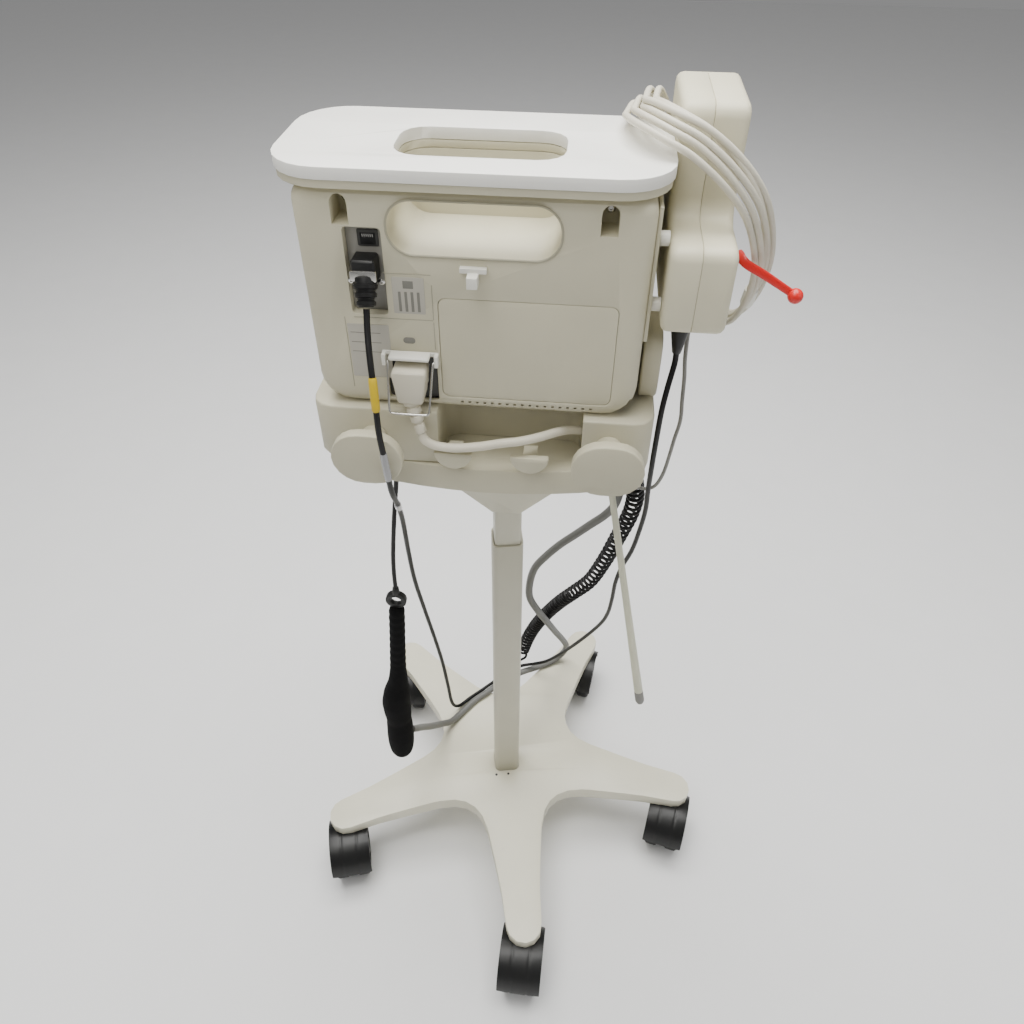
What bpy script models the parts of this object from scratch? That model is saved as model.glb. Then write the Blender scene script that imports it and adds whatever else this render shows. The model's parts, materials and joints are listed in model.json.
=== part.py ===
"""Bedside patient monitor with a side dock, on a five-leg roll stand with twin-wheel casters.

Frame: +Z up, the monitor's screen looks along +Y and its connector side along -Y, floor at Z = 0.
Every place below is measured from the pole's axis; the empty "stand" puts that axis in the frame.
"""
import math

import bmesh
import bpy
from mathutils import Vector

# ---- Driving dimensions (metres) ------------------------------------------------------------
POLE_X = -0.0137          # the pole's axis, from the middle of the whole stand's floor area
POLE_Y = 0.0138
GAP = 0.0003              # clearance kept between touching pieces

STAR_Y = 0.016            # the five legs meet a little towards the screen side of the pole
STAR_TURN = math.radians(10.7)
LEGS = ("front", "right", "rear_right", "rear_left", "left")
LEG_STEP = math.radians(72)
LEG_REACH = 0.2695        # star centre to leg tip
TIP_RADIUS = 0.0225
HUB_TOP = 0.104
HUB_THICK = 0.021
CREASE_REACH = 0.130      # where the flat hub ends and each leg begins to slope
TIP_DROP = 0.0077         # how far the leg's top has come down at its tip
TIP_UNDER_DROP = 0.0022
WEB_CONTROL = 0.0821      # control point of the concave web between two legs

WHEEL_RADIUS = 0.0375
WHEEL_SIDES = 32
AXLE_Z = WHEEL_RADIUS * math.cos(math.pi / WHEEL_SIDES)
TRAIL = 0.022             # axle behind the swivel axis
SWIVEL_REACH = LEG_REACH - TIP_RADIUS
STEM_RADIUS = 0.005
STEM_BORE = 0.0053
AXLE_RADIUS = 0.0035
HOOD_RADIUS = 0.0420
HOOD_WALL = 0.0028
HOOD_WIDTH = 0.052
CASTER_HEADINGS = (-92, -102, -100, -86, -74)   # degrees each caster trails towards, one a leg

POLE_WIDTH = 0.034
POLE_WALL = 0.002
POLE_FOOT_DEPTH = 0.010
POLE_TOP = 0.5635
NECK_WIDTH = 0.0293

PAN_BOTTOM = 0.7120
PAN_TOP = 0.7380
DECK_TOP = 0.7927
HOUSING_BOTTOM = 0.7930
HOUSING_TOP = 0.9745
HOUSING_LEFT = -0.1480
HOUSING_RIGHT = 0.1130
REAR_FACE = -0.0885
HOUSING_FRONT = 0.0100
CAP_WIDTH = 0.2870
CAP_DEPTH = 0.1340
CAP_X = -0.0200
CAP_Y = -0.0285
CAP_TOP = 0.9900
RIM_TOP = 0.9808
BEZEL_BOTTOM = 0.7450
BEZEL_FRONT = 0.0375

HANDLE_X = -0.0160        # middle of the hand slot
BAIL_AXIS_Y = -0.0925     # the plug retainer's pivots
BAIL_AXIS_Z = 0.8390
WAND_X = 0.1018           # the wand's hinge, under the socket bar
WAND_Y = -0.0275
WAND_AXIS_Z = 0.6885
DOCK_INNER = 0.1240       # the side dock's wall next to the monitor
DOCK_SEAM = 0.1470
DOCK_OUTER = 0.1725
DOCK_BOTTOM = 0.8730
DOCK_STEP = 0.9410
DOCK_TOP = 1.0200

# Cord diameters
DATA_CORD = 0.0050
MAINS_CORD = 0.0076
HOSE = 0.0095
SENSOR_CORD = 0.0036
PATIENT_CORD = 0.0056
CURL_OUTER = 0.0160
CURL_CORD = 0.0040
HAND_CORD = 0.0048

# Cord routes, each a hand-picked list of places that one smooth curve goes through
DATA_ROUTE = (
    (0.1430, -0.0580, 0.8401), (0.1429, -0.0583, 0.8300), (0.1395, -0.0650, 0.8110),
    (0.1372, -0.0685, 0.7900), (0.1368, -0.0660, 0.7570), (0.1375, -0.0580, 0.7190),
    (0.1390, -0.0460, 0.6830), (0.1410, -0.0340, 0.6460), (0.1400, -0.0200, 0.6060),
    (0.1370, -0.0040, 0.5600), (0.1300, 0.0100, 0.5180), (0.1265, 0.0230, 0.4780),
    (0.1265, 0.0400, 0.4280), (0.1250, 0.0600, 0.3780), (0.1180, 0.0850, 0.3250),
    (0.0960, 0.1150, 0.2520), (0.0710, 0.1420, 0.1850), (0.0490, 0.1570, 0.1430),
    (0.0290, 0.1630, 0.1250), (0.0100, 0.1620, 0.1190), (-0.0080, 0.1570, 0.1130),
    (-0.0260, 0.1420, 0.1085), (-0.0460, 0.1210, 0.1080), (-0.0660, 0.1010, 0.1080),
    (-0.0820, 0.0810, 0.1120), (-0.0890, 0.0650, 0.1420), (-0.0910, 0.0530, 0.2050),
    (-0.0935, 0.0420, 0.2700), (-0.0980, 0.0300, 0.3340), (-0.1030, 0.0100, 0.4160),
    (-0.1050, -0.0150, 0.4970),
    (-0.1020, -0.0400, 0.5710), (-0.0960, -0.0700, 0.6430), (-0.0910, -0.0990, 0.6900),
    (-0.0875, -0.1240, 0.7250), (-0.0862, -0.1345, 0.7500), (-0.0868, -0.1375, 0.7750),
    (-0.0882, -0.1385, 0.8000), (-0.0886, -0.1370, 0.8220), (-0.0900, -0.1315, 0.8450),
    (-0.0927, -0.1220, 0.8620), (-0.0948, -0.1125, 0.8762), (-0.0957, -0.1046, 0.8904),
)
HOSE_ROUTE = (
    (0.1180, 0.0280, 0.6800), (0.1183, 0.0270, 0.6580), (0.1185, 0.0240, 0.6250),
    (0.1150, 0.0250, 0.5990), (0.1060, 0.0300, 0.5780), (0.0910, 0.0360, 0.5560),
    (0.0750, 0.0430, 0.5320), (0.0580, 0.0480, 0.5090), (0.0420, 0.0540, 0.4820),
    (0.0290, 0.0600, 0.4540), (0.0230, 0.0655, 0.4210), (0.0230, 0.0710, 0.3870),
    (0.0330, 0.0780, 0.3550), (0.0470, 0.0950, 0.3110), (0.0600, 0.1270, 0.2510),
    (0.0690, 0.1540, 0.2050), (0.0760, 0.1770, 0.1640), (0.0775, 0.1890, 0.1400),
    (0.0735, 0.1940, 0.1200), (0.0610, 0.1870, 0.1090), (0.0450, 0.1765, 0.1078),
    (0.0290, 0.1668, 0.1085), (0.0090, 0.1560, 0.1092), (-0.0170, 0.1390, 0.1092),
    (-0.0380, 0.1160, 0.1092), (-0.0590, 0.0950, 0.1092), (-0.0760, 0.0710, 0.1094),
    (-0.0890, 0.0500, 0.1150), (-0.1000, 0.0290, 0.1380), (-0.1090, 0.0040, 0.1690),
    (-0.1165, -0.0180, 0.1990), (-0.1207, -0.0318, 0.2169), (-0.1247, -0.0387, 0.2255),
)
CURL_ROUTE = (
    (0.1240, 0.0080, 0.6725), (0.1262, 0.0085, 0.6600), (0.1315, 0.0105, 0.6430),
    (0.1345, 0.0160, 0.6180), (0.1325, 0.0270, 0.5830), (0.1230, 0.0400, 0.5330),
    (0.1130, 0.0520, 0.4850), (0.0990, 0.0660, 0.4330), (0.0810, 0.0790, 0.3950),
    (0.0635, 0.0940, 0.3570), (0.0475, 0.1085, 0.3170), (0.0320, 0.1160, 0.2800),
    (0.0210, 0.1150, 0.2520), (0.0130, 0.1115, 0.2240), (0.0060, 0.1030, 0.2040),
)
CURL_TOP_TAIL = ((0.1240, 0.0080, 0.6800), (0.1240, 0.0080, 0.6735))
CURL_END_TAIL = (
    (0.0058, 0.1027, 0.2033), (0.0035, 0.0970, 0.1925), (0.0025, 0.0830, 0.1850),
    (0.0030, 0.0640, 0.1880), (0.0035, 0.0460, 0.1980), (0.0035, 0.0320, 0.2060),
    (0.0035, 0.0200, 0.2090),
)
SENSOR_ROUTE = (
    (0.1530, -0.0350, 0.8562), (0.1532, -0.0345, 0.8400), (0.1545, -0.0325, 0.8190),
    (0.1570, -0.0300, 0.7990), (0.1585, -0.0300, 0.7760), (0.1600, -0.0300, 0.7540),
    (0.1575, -0.0300, 0.7320), (0.1560, -0.0280, 0.7120), (0.1540, -0.0220, 0.6850),
    (0.1500, -0.0110, 0.6600), (0.1430, -0.0040, 0.6490), (0.1330, -0.0060, 0.6520),
    (0.1240, -0.0090, 0.6640), (0.1202, -0.0100, 0.6799),
)
MAINS_ROUTE = (
    (-0.0618, -0.1046, 0.7784), (-0.0602, -0.1058, 0.7735), (-0.0555, -0.1068, 0.7698),
    (-0.0470, -0.1076, 0.7675), (-0.0320, -0.1080, 0.7672), (-0.0120, -0.1080, 0.7705),
    (0.0040, -0.1070, 0.7740), (0.0210, -0.1040, 0.7755), (0.0370, -0.0970, 0.7760),
    (0.0500, -0.0870, 0.7745), (0.0600, -0.0780, 0.7710), (0.0705, -0.0720, 0.7670),
)
HAND_ROUTE = (
    (-0.1020, -0.0500, 0.6970), (-0.1025, -0.0500, 0.6850), (-0.1045, -0.0500, 0.6680),
    (-0.1070, -0.0500, 0.6500), (-0.1100, -0.0520, 0.6250), (-0.1135, -0.0540, 0.5910),
    (-0.1150, -0.0560, 0.5700), (-0.1155, -0.0580, 0.5500), (-0.1151, -0.0600, 0.5331),
)
HANK_ROUTE = (
    (0.0970, 0.0100, 1.0050), (0.1030, -0.0220, 1.0110), (0.1180, -0.0440, 1.0100),
    (0.1400, -0.0520, 1.0010), (0.1640, -0.0550, 0.9820), (0.1830, -0.0510, 0.9580),
    (0.1950, -0.0410, 0.9300), (0.2010, -0.0300, 0.9020), (0.1990, -0.0200, 0.8720),
    (0.1900, -0.0080, 0.8490), (0.1740, 0.0140, 0.8430), (0.1560, 0.0460, 0.8490),
    (0.1420, 0.0730, 0.8760), (0.1310, 0.0810, 0.9250), (0.1180, 0.0720, 0.9740),
    (0.1040, 0.0480, 1.0020),
)
HANK_RADIUS = 0.0085

# Colours, given as linear red, green and blue
IVORY = (0.72, 0.70, 0.60, 1)
WHITE = (0.86, 0.85, 0.80, 1)
BLACK = (0.018, 0.018, 0.020, 1)
DARK_GREY = (0.08, 0.08, 0.08, 1)
LIGHT_GREY = (0.42, 0.43, 0.41, 1)
HOSE_GREY = (0.17, 0.17, 0.16, 1)
RED = (0.60, 0.03, 0.02, 1)
STEEL = (0.55, 0.55, 0.54, 1)
GREEN = (0.03, 0.16, 0.07, 1)
GLASS = (0.01, 0.012, 0.015, 1)

PLANES = {
    "XY": (0, 0, 0),
    "XZ": (math.pi / 2, 0, 0),
    "YZ": (math.pi / 2, 0, math.pi / 2),
}


# ---- Small tools ----------------------------------------------------------------------------
def clear_scene():
    """Remove every object that the file already holds."""
    for item in list(bpy.data.objects):
        bpy.data.objects.remove(item, do_unlink=True)


def new_collection(name):
    """Make a collection and hang it under the scene."""
    collection = bpy.data.collections.new(name)
    bpy.context.scene.collection.children.link(collection)
    return collection


def plastic(name, colour, roughness=0.5, metallic=0.0):
    """A Principled material with one colour."""
    material = bpy.data.materials.new(name)
    material.use_nodes = True
    shader = material.node_tree.nodes["Principled BSDF"]
    shader.inputs["Base Color"].default_value = colour
    shader.inputs["Roughness"].default_value = roughness
    shader.inputs["Metallic"].default_value = metallic
    material.diffuse_color = colour
    return material


def place(name, mesh, material, location=(0, 0, 0), rotation=(0, 0, 0), parent=None):
    """Link a mesh as a named part."""
    part = bpy.data.objects.new(name, mesh)
    part.location = location
    part.rotation_euler = rotation
    part.parent = parent or STAND
    PARTS.objects.link(part)
    if material:
        mesh.materials.clear()
        mesh.materials.append(material)
    return part


def pivot(name, location, heading=0.0, parent=None):
    """An empty on a joint's axis."""
    empty = bpy.data.objects.new(name, None)
    empty.location = location
    empty.rotation_euler = (0, 0, heading)
    empty.parent = parent or STAND
    PARTS.objects.link(empty)
    return empty


def as_cutter(part):
    """Keep a shape out of the model: it only cuts or adds to another one."""
    PARTS.objects.unlink(part)
    CUTTERS.objects.link(part)
    part.hide_render = True
    part.display_type = "WIRE"
    return part


def combine(part, tool, operation):
    """Add one Boolean step to a part."""
    step = part.modifiers.new(operation.title(), "BOOLEAN")
    step.operation = operation
    step.object = as_cutter(tool)
    step.solver = "EXACT"


def cut(part, tool):
    """Take a shape out of a part."""
    combine(part, tool, "DIFFERENCE")


def join(part, tool):
    """Add a shape to a part."""
    combine(part, tool, "UNION")


def soften(part, width, segments=2, angle=40):
    """Round a part's sharp edges."""
    bevel = part.modifiers.new("Rounded edges", "BEVEL")
    bevel.width = width
    bevel.segments = segments
    bevel.limit_method = "ANGLE"
    bevel.angle_limit = math.radians(angle)
    return part


def outline_mesh(name, outlines, depth):
    """A flat outline, holes included, made a welded solid that is centred on its own plane."""
    curve = bpy.data.curves.new(name, "CURVE")
    curve.dimensions = "2D"
    curve.fill_mode = "BOTH"
    curve.extrude = depth / 2
    for outline in outlines:
        spline = curve.splines.new("POLY")
        spline.points.add(len(outline) - 1)
        for point, (a, b) in zip(spline.points, outline):
            point.co = (a, b, 0, 1)
        spline.use_cyclic_u = True
    guide = bpy.data.objects.new(name, curve)
    PARTS.objects.link(guide)
    graph = bpy.context.evaluated_depsgraph_get()
    mesh = bpy.data.meshes.new_from_object(guide.evaluated_get(graph))
    bpy.data.objects.remove(guide)
    bpy.data.curves.remove(curve)
    form = bmesh.new()
    form.from_mesh(mesh)
    bmesh.ops.remove_doubles(form, verts=form.verts, dist=0.00001)
    form.to_mesh(mesh)
    form.free()
    return mesh


def round_one_end(mesh, end, width):
    """Round the rim at the upper (end 1) or lower (end -1) face of an upright outline solid."""
    form = bmesh.new()
    form.from_mesh(mesh)
    face = max(vert.co.z for vert in form.verts)
    rim = []
    for edge in form.edges:
        on_face = all(vert.co.z * end > face - 0.00001 for vert in edge.verts)
        if on_face and edge.calc_face_angle(0) > 1:
            rim.append(edge)
    bmesh.ops.bevel(form, geom=rim, offset=width, segments=3, profile=0.5, affect="EDGES")
    form.to_mesh(mesh)
    form.free()


def prism(name, outlines, depth, material=None, plane="XY", centre=(0, 0, 0), parent=None, turn=0.0):
    """A part of constant section, centred on a point."""
    mesh = outline_mesh(name, outlines, depth)
    rotation = list(PLANES[plane])
    rotation[2] += turn
    return place(name, mesh, material, centre, rotation, parent)


def rounded(width, height, radius, centre=(0, 0), steps=3):
    """Corner-rounded rectangle, anticlockwise; radius is one value or one for each corner."""
    radii = radius if isinstance(radius, tuple) else (radius,) * 4
    corners = ((1, 1), (-1, 1), (-1, -1), (1, -1))
    points = []
    for number, ((sx, sy), r) in enumerate(zip(corners, radii)):
        cx = centre[0] + sx * (width / 2 - r)
        cy = centre[1] + sy * (height / 2 - r)
        for step in range(steps + 1):
            angle = math.pi / 2 * (number + step / steps)
            points.append((cx + r * math.cos(angle), cy + r * math.sin(angle)))
    return points


def arc(centre, radius, start, end, steps):
    """Points along an arc, with both ends; angles in degrees."""
    points = []
    for step in range(steps + 1):
        angle = math.radians(start + (end - start) * step / steps)
        points.append((centre[0] + radius * math.cos(angle), centre[1] + radius * math.sin(angle)))
    return points


def box(name, low, high, material=None, parent=None):
    """A block between two corners."""
    form = bmesh.new()
    bmesh.ops.create_cube(form, size=1.0)
    size = [b - a for a, b in zip(low, high)]
    bmesh.ops.scale(form, vec=size, verts=form.verts)
    mesh = bpy.data.meshes.new(name)
    form.to_mesh(mesh)
    form.free()
    centre = [(a + b) / 2 for a, b in zip(low, high)]
    return place(name, mesh, material, centre, parent=parent)


def rod(name, start, end, radius, material=None, end_radius=None, sides=16, parent=None):
    """A straight round bar or a taper between two points."""
    start = Vector(start)
    end = Vector(end)
    form = bmesh.new()
    bmesh.ops.create_cone(
        form, cap_ends=True, segments=sides, radius1=radius,
        radius2=radius if end_radius is None else end_radius, depth=(end - start).length)
    mesh = bpy.data.meshes.new(name)
    form.to_mesh(mesh)
    form.free()
    rotation = (end - start).to_track_quat("Z", "Y").to_euler()
    return place(name, mesh, material, (start + end) / 2, rotation, parent)


def turned(name, profile, material=None, sides=16, location=(0, 0, 0), rotation=(0, 0, 0), parent=None):
    """A turned solid: (radius, height) points from the top to the bottom of its outer side."""
    mesh = bpy.data.meshes.new(name)
    points = [(radius, 0, height) for radius, height in profile]
    edges = [(n, n + 1) for n in range(len(points) - 1)]
    mesh.from_pydata(points, edges, [])
    part = place(name, mesh, material, location, rotation, parent)
    screw = part.modifiers.new("Turned", "SCREW")
    screw.steps = sides
    screw.render_steps = sides
    screw.use_merge_vertices = True
    screw.merge_threshold = 0.00001
    return part


def smooth_path(route, spacing):
    """Places along a Catmull-Rom curve through the route's points, about one each spacing."""
    points = [Vector(p) for p in route]
    padded = [2 * points[0] - points[1]] + points + [2 * points[-1] - points[-2]]
    path = [points[0]]
    for n in range(len(points) - 1):
        a, b, c, d = padded[n:n + 4]
        steps = max(1, round((c - b).length / spacing))
        for step in range(1, steps + 1):
            t = step / steps
            bend = (2 * a - 5 * b + 4 * c - d) * t * t + (3 * b - a - 3 * c + d) * t * t * t
            path.append(b + ((c - a) * t + bend) / 2)
    return path


def wire(name, points, radius, material, resolution=2, closed=False, parent=None):
    """A round wire, tube or cord along points."""
    curve = bpy.data.curves.new(name, "CURVE")
    curve.dimensions = "3D"
    curve.bevel_depth = radius
    curve.bevel_resolution = resolution
    curve.use_fill_caps = not closed
    spline = curve.splines.new("POLY")
    spline.points.add(len(points) - 1)
    for point, place_ in zip(spline.points, points):
        point.co = (*place_, 1)
    spline.use_cyclic_u = closed
    curve.materials.append(material)
    part = bpy.data.objects.new(name, curve)
    part.parent = parent or STAND
    PARTS.objects.link(part)
    return part


# ---- Stand: base, casters, pole -------------------------------------------------------------
def star_outline():
    """Five tapering legs joined by concave webs, anticlockwise from the front leg."""
    half_widths = ((0.118, 0.0380), (CREASE_REACH, 0.0358), (0.165, 0.0305), (0.205, 0.0252))
    points = []
    for leg in range(5):
        heading = -math.pi / 2 + leg * LEG_STEP
        side = [(reach, -half) for reach, half in half_widths]
        side += arc((SWIVEL_REACH, 0), TIP_RADIUS, -90, 90, 6)
        side += [(reach, half) for reach, half in reversed(half_widths)]
        for reach, across in side:
            points.append((reach * math.cos(heading) - across * math.sin(heading),
                           reach * math.sin(heading) + across * math.cos(heading)))
        points += web_points(heading, half_widths[0])
    return points


def web_points(heading, root):
    """Four points of the quadratic curve from one leg's root to the next one's."""
    reach, half = root
    bisector = heading + LEG_STEP / 2
    control = Vector((math.cos(bisector), math.sin(bisector))) * WEB_CONTROL
    next_heading = heading + LEG_STEP
    start = Vector((reach * math.cos(heading) - half * math.sin(heading),
                    reach * math.sin(heading) + half * math.cos(heading)))
    end = Vector((reach * math.cos(next_heading) + half * math.sin(next_heading),
                  reach * math.sin(next_heading) - half * math.cos(next_heading)))
    points = []
    for t in (0.2, 0.4, 0.6, 0.8):
        points.append(tuple(start * (1 - t) ** 2 + control * 2 * t * (1 - t) + end * t * t))
    return points


def make_base():
    """The cast star: a flat hub whose legs slope down to the casters."""
    mesh = outline_mesh("base_casting", [star_outline()], HUB_THICK)
    form = bmesh.new()
    form.from_mesh(mesh)
    bmesh.ops.translate(form, vec=(0, 0, -HUB_THICK / 2), verts=form.verts)
    directions = []
    for leg in range(5):
        heading = -math.pi / 2 + leg * LEG_STEP
        directions.append(Vector((math.cos(heading), math.sin(heading), 0)))
    for direction in directions:
        everything = form.verts[:] + form.edges[:] + form.faces[:]
        bmesh.ops.bisect_plane(form, geom=everything, dist=0.000001,
                               plane_co=direction * CREASE_REACH, plane_no=direction)
    for vert in form.verts:
        reach = max(vert.co.dot(direction) for direction in directions)
        slope = max(0.0, (reach - CREASE_REACH) / (LEG_REACH - CREASE_REACH))
        vert.co.z -= slope * (TIP_DROP if vert.co.z > -HUB_THICK / 2 else TIP_UNDER_DROP)
    form.to_mesh(mesh)
    form.free()
    base = place("base_casting", mesh, IVORY_PAINT, (0, STAR_Y, HUB_TOP), (0, 0, STAR_TURN))
    soften(base, 0.0045)
    socket_width = POLE_WIDTH + 2 * GAP
    cut(base, prism("pole_socket", [rounded(socket_width, socket_width, 0.007)], 0.040,
                    centre=(0, 0, HUB_TOP - POLE_FOOT_DEPTH - GAP + 0.020), turn=STAR_TURN))
    for leg in range(5):
        x, y = swivel_place(leg)
        cut(base, rod("stem_bore", (x, y, 0.070), (x, y, 0.0935), STEM_BORE))


def swivel_place(leg):
    """Where a leg's swivel axis stands."""
    heading = -math.pi / 2 + leg * LEG_STEP + STAR_TURN
    return SWIVEL_REACH * math.cos(heading), STAR_Y + SWIVEL_REACH * math.sin(heading)


def make_caster(leg):
    """A hooded twin-wheel caster: the hood swivels on its stem, the wheel pair turns in it."""
    x, y = swivel_place(leg)
    heading = math.radians(CASTER_HEADINGS[leg])
    swivel = pivot("swivel_axis_" + LEGS[leg], (x, y, 0), heading)
    axle = pivot("axle_axis_" + LEGS[leg], (TRAIL, 0, AXLE_Z), 0, swivel)
    centre = (TRAIL, AXLE_Z)
    band = arc(centre, HOOD_RADIUS, 12, 172, 14)
    band += arc(centre, HOOD_RADIUS - HOOD_WALL, 172, 12, 14)
    hood = prism("caster_hood_" + LEGS[leg], [band], HOOD_WIDTH, BLACK_PLASTIC, "XZ",
                 (0, 0, 0), swivel)
    web = arc(centre, HOOD_RADIUS - HOOD_WALL / 2, 16, 168, 12)
    web += arc(centre, 0.0095, 190, 350, 6)
    join(hood, prism("hood_web", [web], 0.0100, None, "XZ", (0, 0, 0), swivel))
    join(hood, rod("swivel_boss", (0, 0, 0.0630), (0, 0, 0.0800), 0.0115, parent=swivel))
    join(hood, rod("swivel_stem", (0, 0, 0.0750), (0, 0, 0.0925), STEM_RADIUS, parent=swivel))
    for side in (-1, 1):
        cut(hood, rod("wheel_well", (TRAIL, side * 0.0053, AXLE_Z), (TRAIL, side * 0.0300, AXLE_Z),
                      0.0387, sides=32, parent=swivel))
    cut(hood, rod("axle_bore", (TRAIL, -0.02, AXLE_Z), (TRAIL, 0.02, AXLE_Z),
                  AXLE_RADIUS + GAP, parent=swivel))
    inner = 0.0058
    outer = 0.0240
    profile = [(0, outer), (0.012, outer), (0.0140, outer - 0.002), (0.029, outer - 0.002),
               (0.0315, outer), (0.0355, outer - 0.001), (WHEEL_RADIUS, outer - 0.0035),
               (WHEEL_RADIUS, inner + 0.0025), (0.0355, inner), (AXLE_RADIUS, inner)]
    profile += [(radius, -height) for radius, height in reversed(profile)]
    turned("wheel_pair_" + LEGS[leg], profile, TYRE_RUBBER, WHEEL_SIDES,
           rotation=(math.pi / 2, math.pi / WHEEL_SIDES, 0), parent=axle)


def make_pole():
    """The square column and the narrower flared neck that plugs into its top."""
    bottom = HUB_TOP - POLE_FOOT_DEPTH
    height = POLE_TOP - bottom
    bore = POLE_WIDTH - 2 * POLE_WALL
    prism("pole", [rounded(POLE_WIDTH, POLE_WIDTH, 0.0065), rounded(bore, bore, 0.0045)], height,
          IVORY_PAINT, "XY", (0, 0, bottom + height / 2), turn=STAR_TURN)
    flare_bottom = 0.6110
    neck_bottom = 0.4900
    neck = prism("neck", [rounded(NECK_WIDTH, NECK_WIDTH, 0.0042)], flare_bottom + 0.02 - neck_bottom,
                 IVORY_PAINT, "XY", (0, 0, (neck_bottom + flare_bottom + 0.02) / 2), turn=STAR_TURN)
    flare = box("neck_flare", (-0.086, -0.056, flare_bottom), (0.086, 0.034, PAN_BOTTOM - GAP))
    for vert in flare.data.vertices:
        if vert.co.z < 0:
            vert.co.x = math.copysign(0.0158, vert.co.x)
            vert.co.y = math.copysign(0.0158, vert.co.y) + 0.011
    soften(flare, 0.003, 1)
    join(neck, flare)


# ---- Stand head: pan, deck, cord horns ------------------------------------------------------
def make_head():
    """The tray under the monitor: a bowed pan, a notched deck, and what hangs on them."""
    bow = []
    for step in range(11):
        t = step / 10
        bow.append((-0.150 + 0.278 * t, -0.078 - 0.022 * (1 - (2 * t - 1) ** 2)))
    pan_plan = bow + [(0.128, 0.034), (0.118, 0.044), (-0.140, 0.044), (-0.150, 0.034)]
    pan = prism("tray_pan", [pan_plan], PAN_TOP - PAN_BOTTOM, IVORY_PLASTIC, "XY",
                (0, 0, (PAN_TOP + PAN_BOTTOM) / 2))
    soften(pan, 0.005)
    deck_bottom = PAN_TOP + GAP
    deck = prism("tray_deck", [rounded(0.289, 0.1005, 0.018, (-0.0135, -0.04425))],
                 DECK_TOP - deck_bottom, IVORY_PLASTIC, "XY", (0, 0, (DECK_TOP + deck_bottom) / 2))
    soften(deck, 0.008)
    notch = prism("deck_notch", [rounded(0.122, 0.120, 0.012, (0.0110, -0.110))], 0.070,
                  centre=(0, 0, 0.7650))
    cut(deck, notch)
    cut(deck, rod("cord_way", (0.060, -0.0720, 0.7670), (0.082, -0.0720, 0.7670), 0.0050))
    cheek = prism("tray_cheek", [rounded(0.060, 0.060, 0.014, (-0.033, 0.824))], 0.0150, IVORY_PLASTIC,
                  "YZ", (0.1240, 0, 0))
    soften(cheek, 0.004)
    for side, x, z in (("left", -0.1050, 0.7640), ("right", 0.0945, 0.7675)):
        horn = prism("cord_horn_" + side, [rounded(0.0600, 0.0500, 0.0249, steps=5)], 0.0100,
                     IVORY_PLASTIC, "XZ", (x, -0.1235, z))
        soften(horn, 0.0035)
        join(horn, rod("horn_post", (x, -0.0948, z), (x, -0.1200, z), 0.012))
    for side, x in (("left", -0.0360), ("right", 0.0290)):
        tongue = prism("cord_tongue_" + side, [arc((0, 0), 0.0165, 180, 360, 10)], 0.0060,
                       None, "XZ", (x, -0.1045, 0.7600))
        soften(tongue, 0.002, 1)
        join(pan, tongue)
        join(pan, box("tongue_arm", (x - 0.006, -0.1030, 0.7520), (x + 0.006, -0.0850, 0.7570)))
        join(pan, box("tongue_foot", (x - 0.006, -0.0880, 0.7300), (x + 0.006, -0.0830, 0.7560)))
    bar = box("socket_bar", (0.0920, -0.0400, 0.6960), (0.1320, 0.0440, PAN_BOTTOM - GAP), IVORY_PLASTIC)
    soften(bar, 0.003)
    glands = (("hose_gland", 0.1180, 0.0280, 0.0075), ("curl_gland", 0.1240, 0.0080, 0.0055),
              ("sensor_gland", 0.1200, -0.0100, 0.0040))
    for name, x, y, radius in glands:
        join(bar, turned(name, [(0, 0.7000), (radius, 0.7000), (radius, 0.6900),
                                (radius - 0.0015, 0.6805), (0, 0.6805)], None, 16, (x, y, 0)))
    lug = box("wand_lug", (0.0978, -0.0315, 0.6835), (0.1058, -0.0235, 0.6980))
    join(bar, lug)
    cut(bar, rod("lug_bore", (WAND_X, -0.040, WAND_AXIS_Z), (WAND_X, -0.015, WAND_AXIS_Z), 0.0022))
    turned("hand_gland", [(0, 0.7117), (0.0055, 0.7117), (0.0055, 0.7060), (0.0040, 0.6975),
                          (0, 0.6975)], BLACK_PLASTIC, 16, (-0.1020, -0.0500, 0))


def make_wand():
    """The white wand that hangs from a lug under the socket bar."""
    top = Vector((WAND_X, WAND_Y, 0.6840))
    bottom = Vector((0.1668, -0.0600, 0.3612))
    along = (bottom - top).normalized()
    hinge = pivot("wand_axis", (WAND_X, WAND_Y, WAND_AXIS_Z))
    start = top - Vector(hinge.location)
    length = (bottom - top).length
    grip = 0.020
    profile = [(0, -0.0045), (0.0022, -0.0045), (0.0032, -0.0065), (0.0034, -0.050),
               (0.0042, -length * 0.6), (0.0052, -length + grip), (0, -length + grip)]
    rotation = (-along).to_track_quat("Z", "Y").to_euler()
    wand = turned("wand", profile, WHITE_PLASTIC, 14, start, rotation, hinge)
    join(wand, box("fork_base", (-0.0035, -0.0070, -0.0112), (0.0035, 0.0070, -0.0072), parent=hinge))
    for low, high in ((-0.0070, -0.0043), (0.0043, 0.0070)):
        join(wand, box("fork_cheek", (-0.0030, low, -0.0100), (0.0030, high, 0.0032), parent=hinge))
    join(wand, rod("fork_pin", (0, -0.0056, 0), (0, 0.0056, 0), 0.0019, parent=hinge))
    tip = [(0, -length + grip - GAP), (0.0053, -length + grip - GAP), (0.0054, -length + 0.004),
           (0.0040, -length), (0, -length)]
    turned("wand_tip", tip, GREY_RUBBER, 14, start, rotation, hinge)


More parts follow.
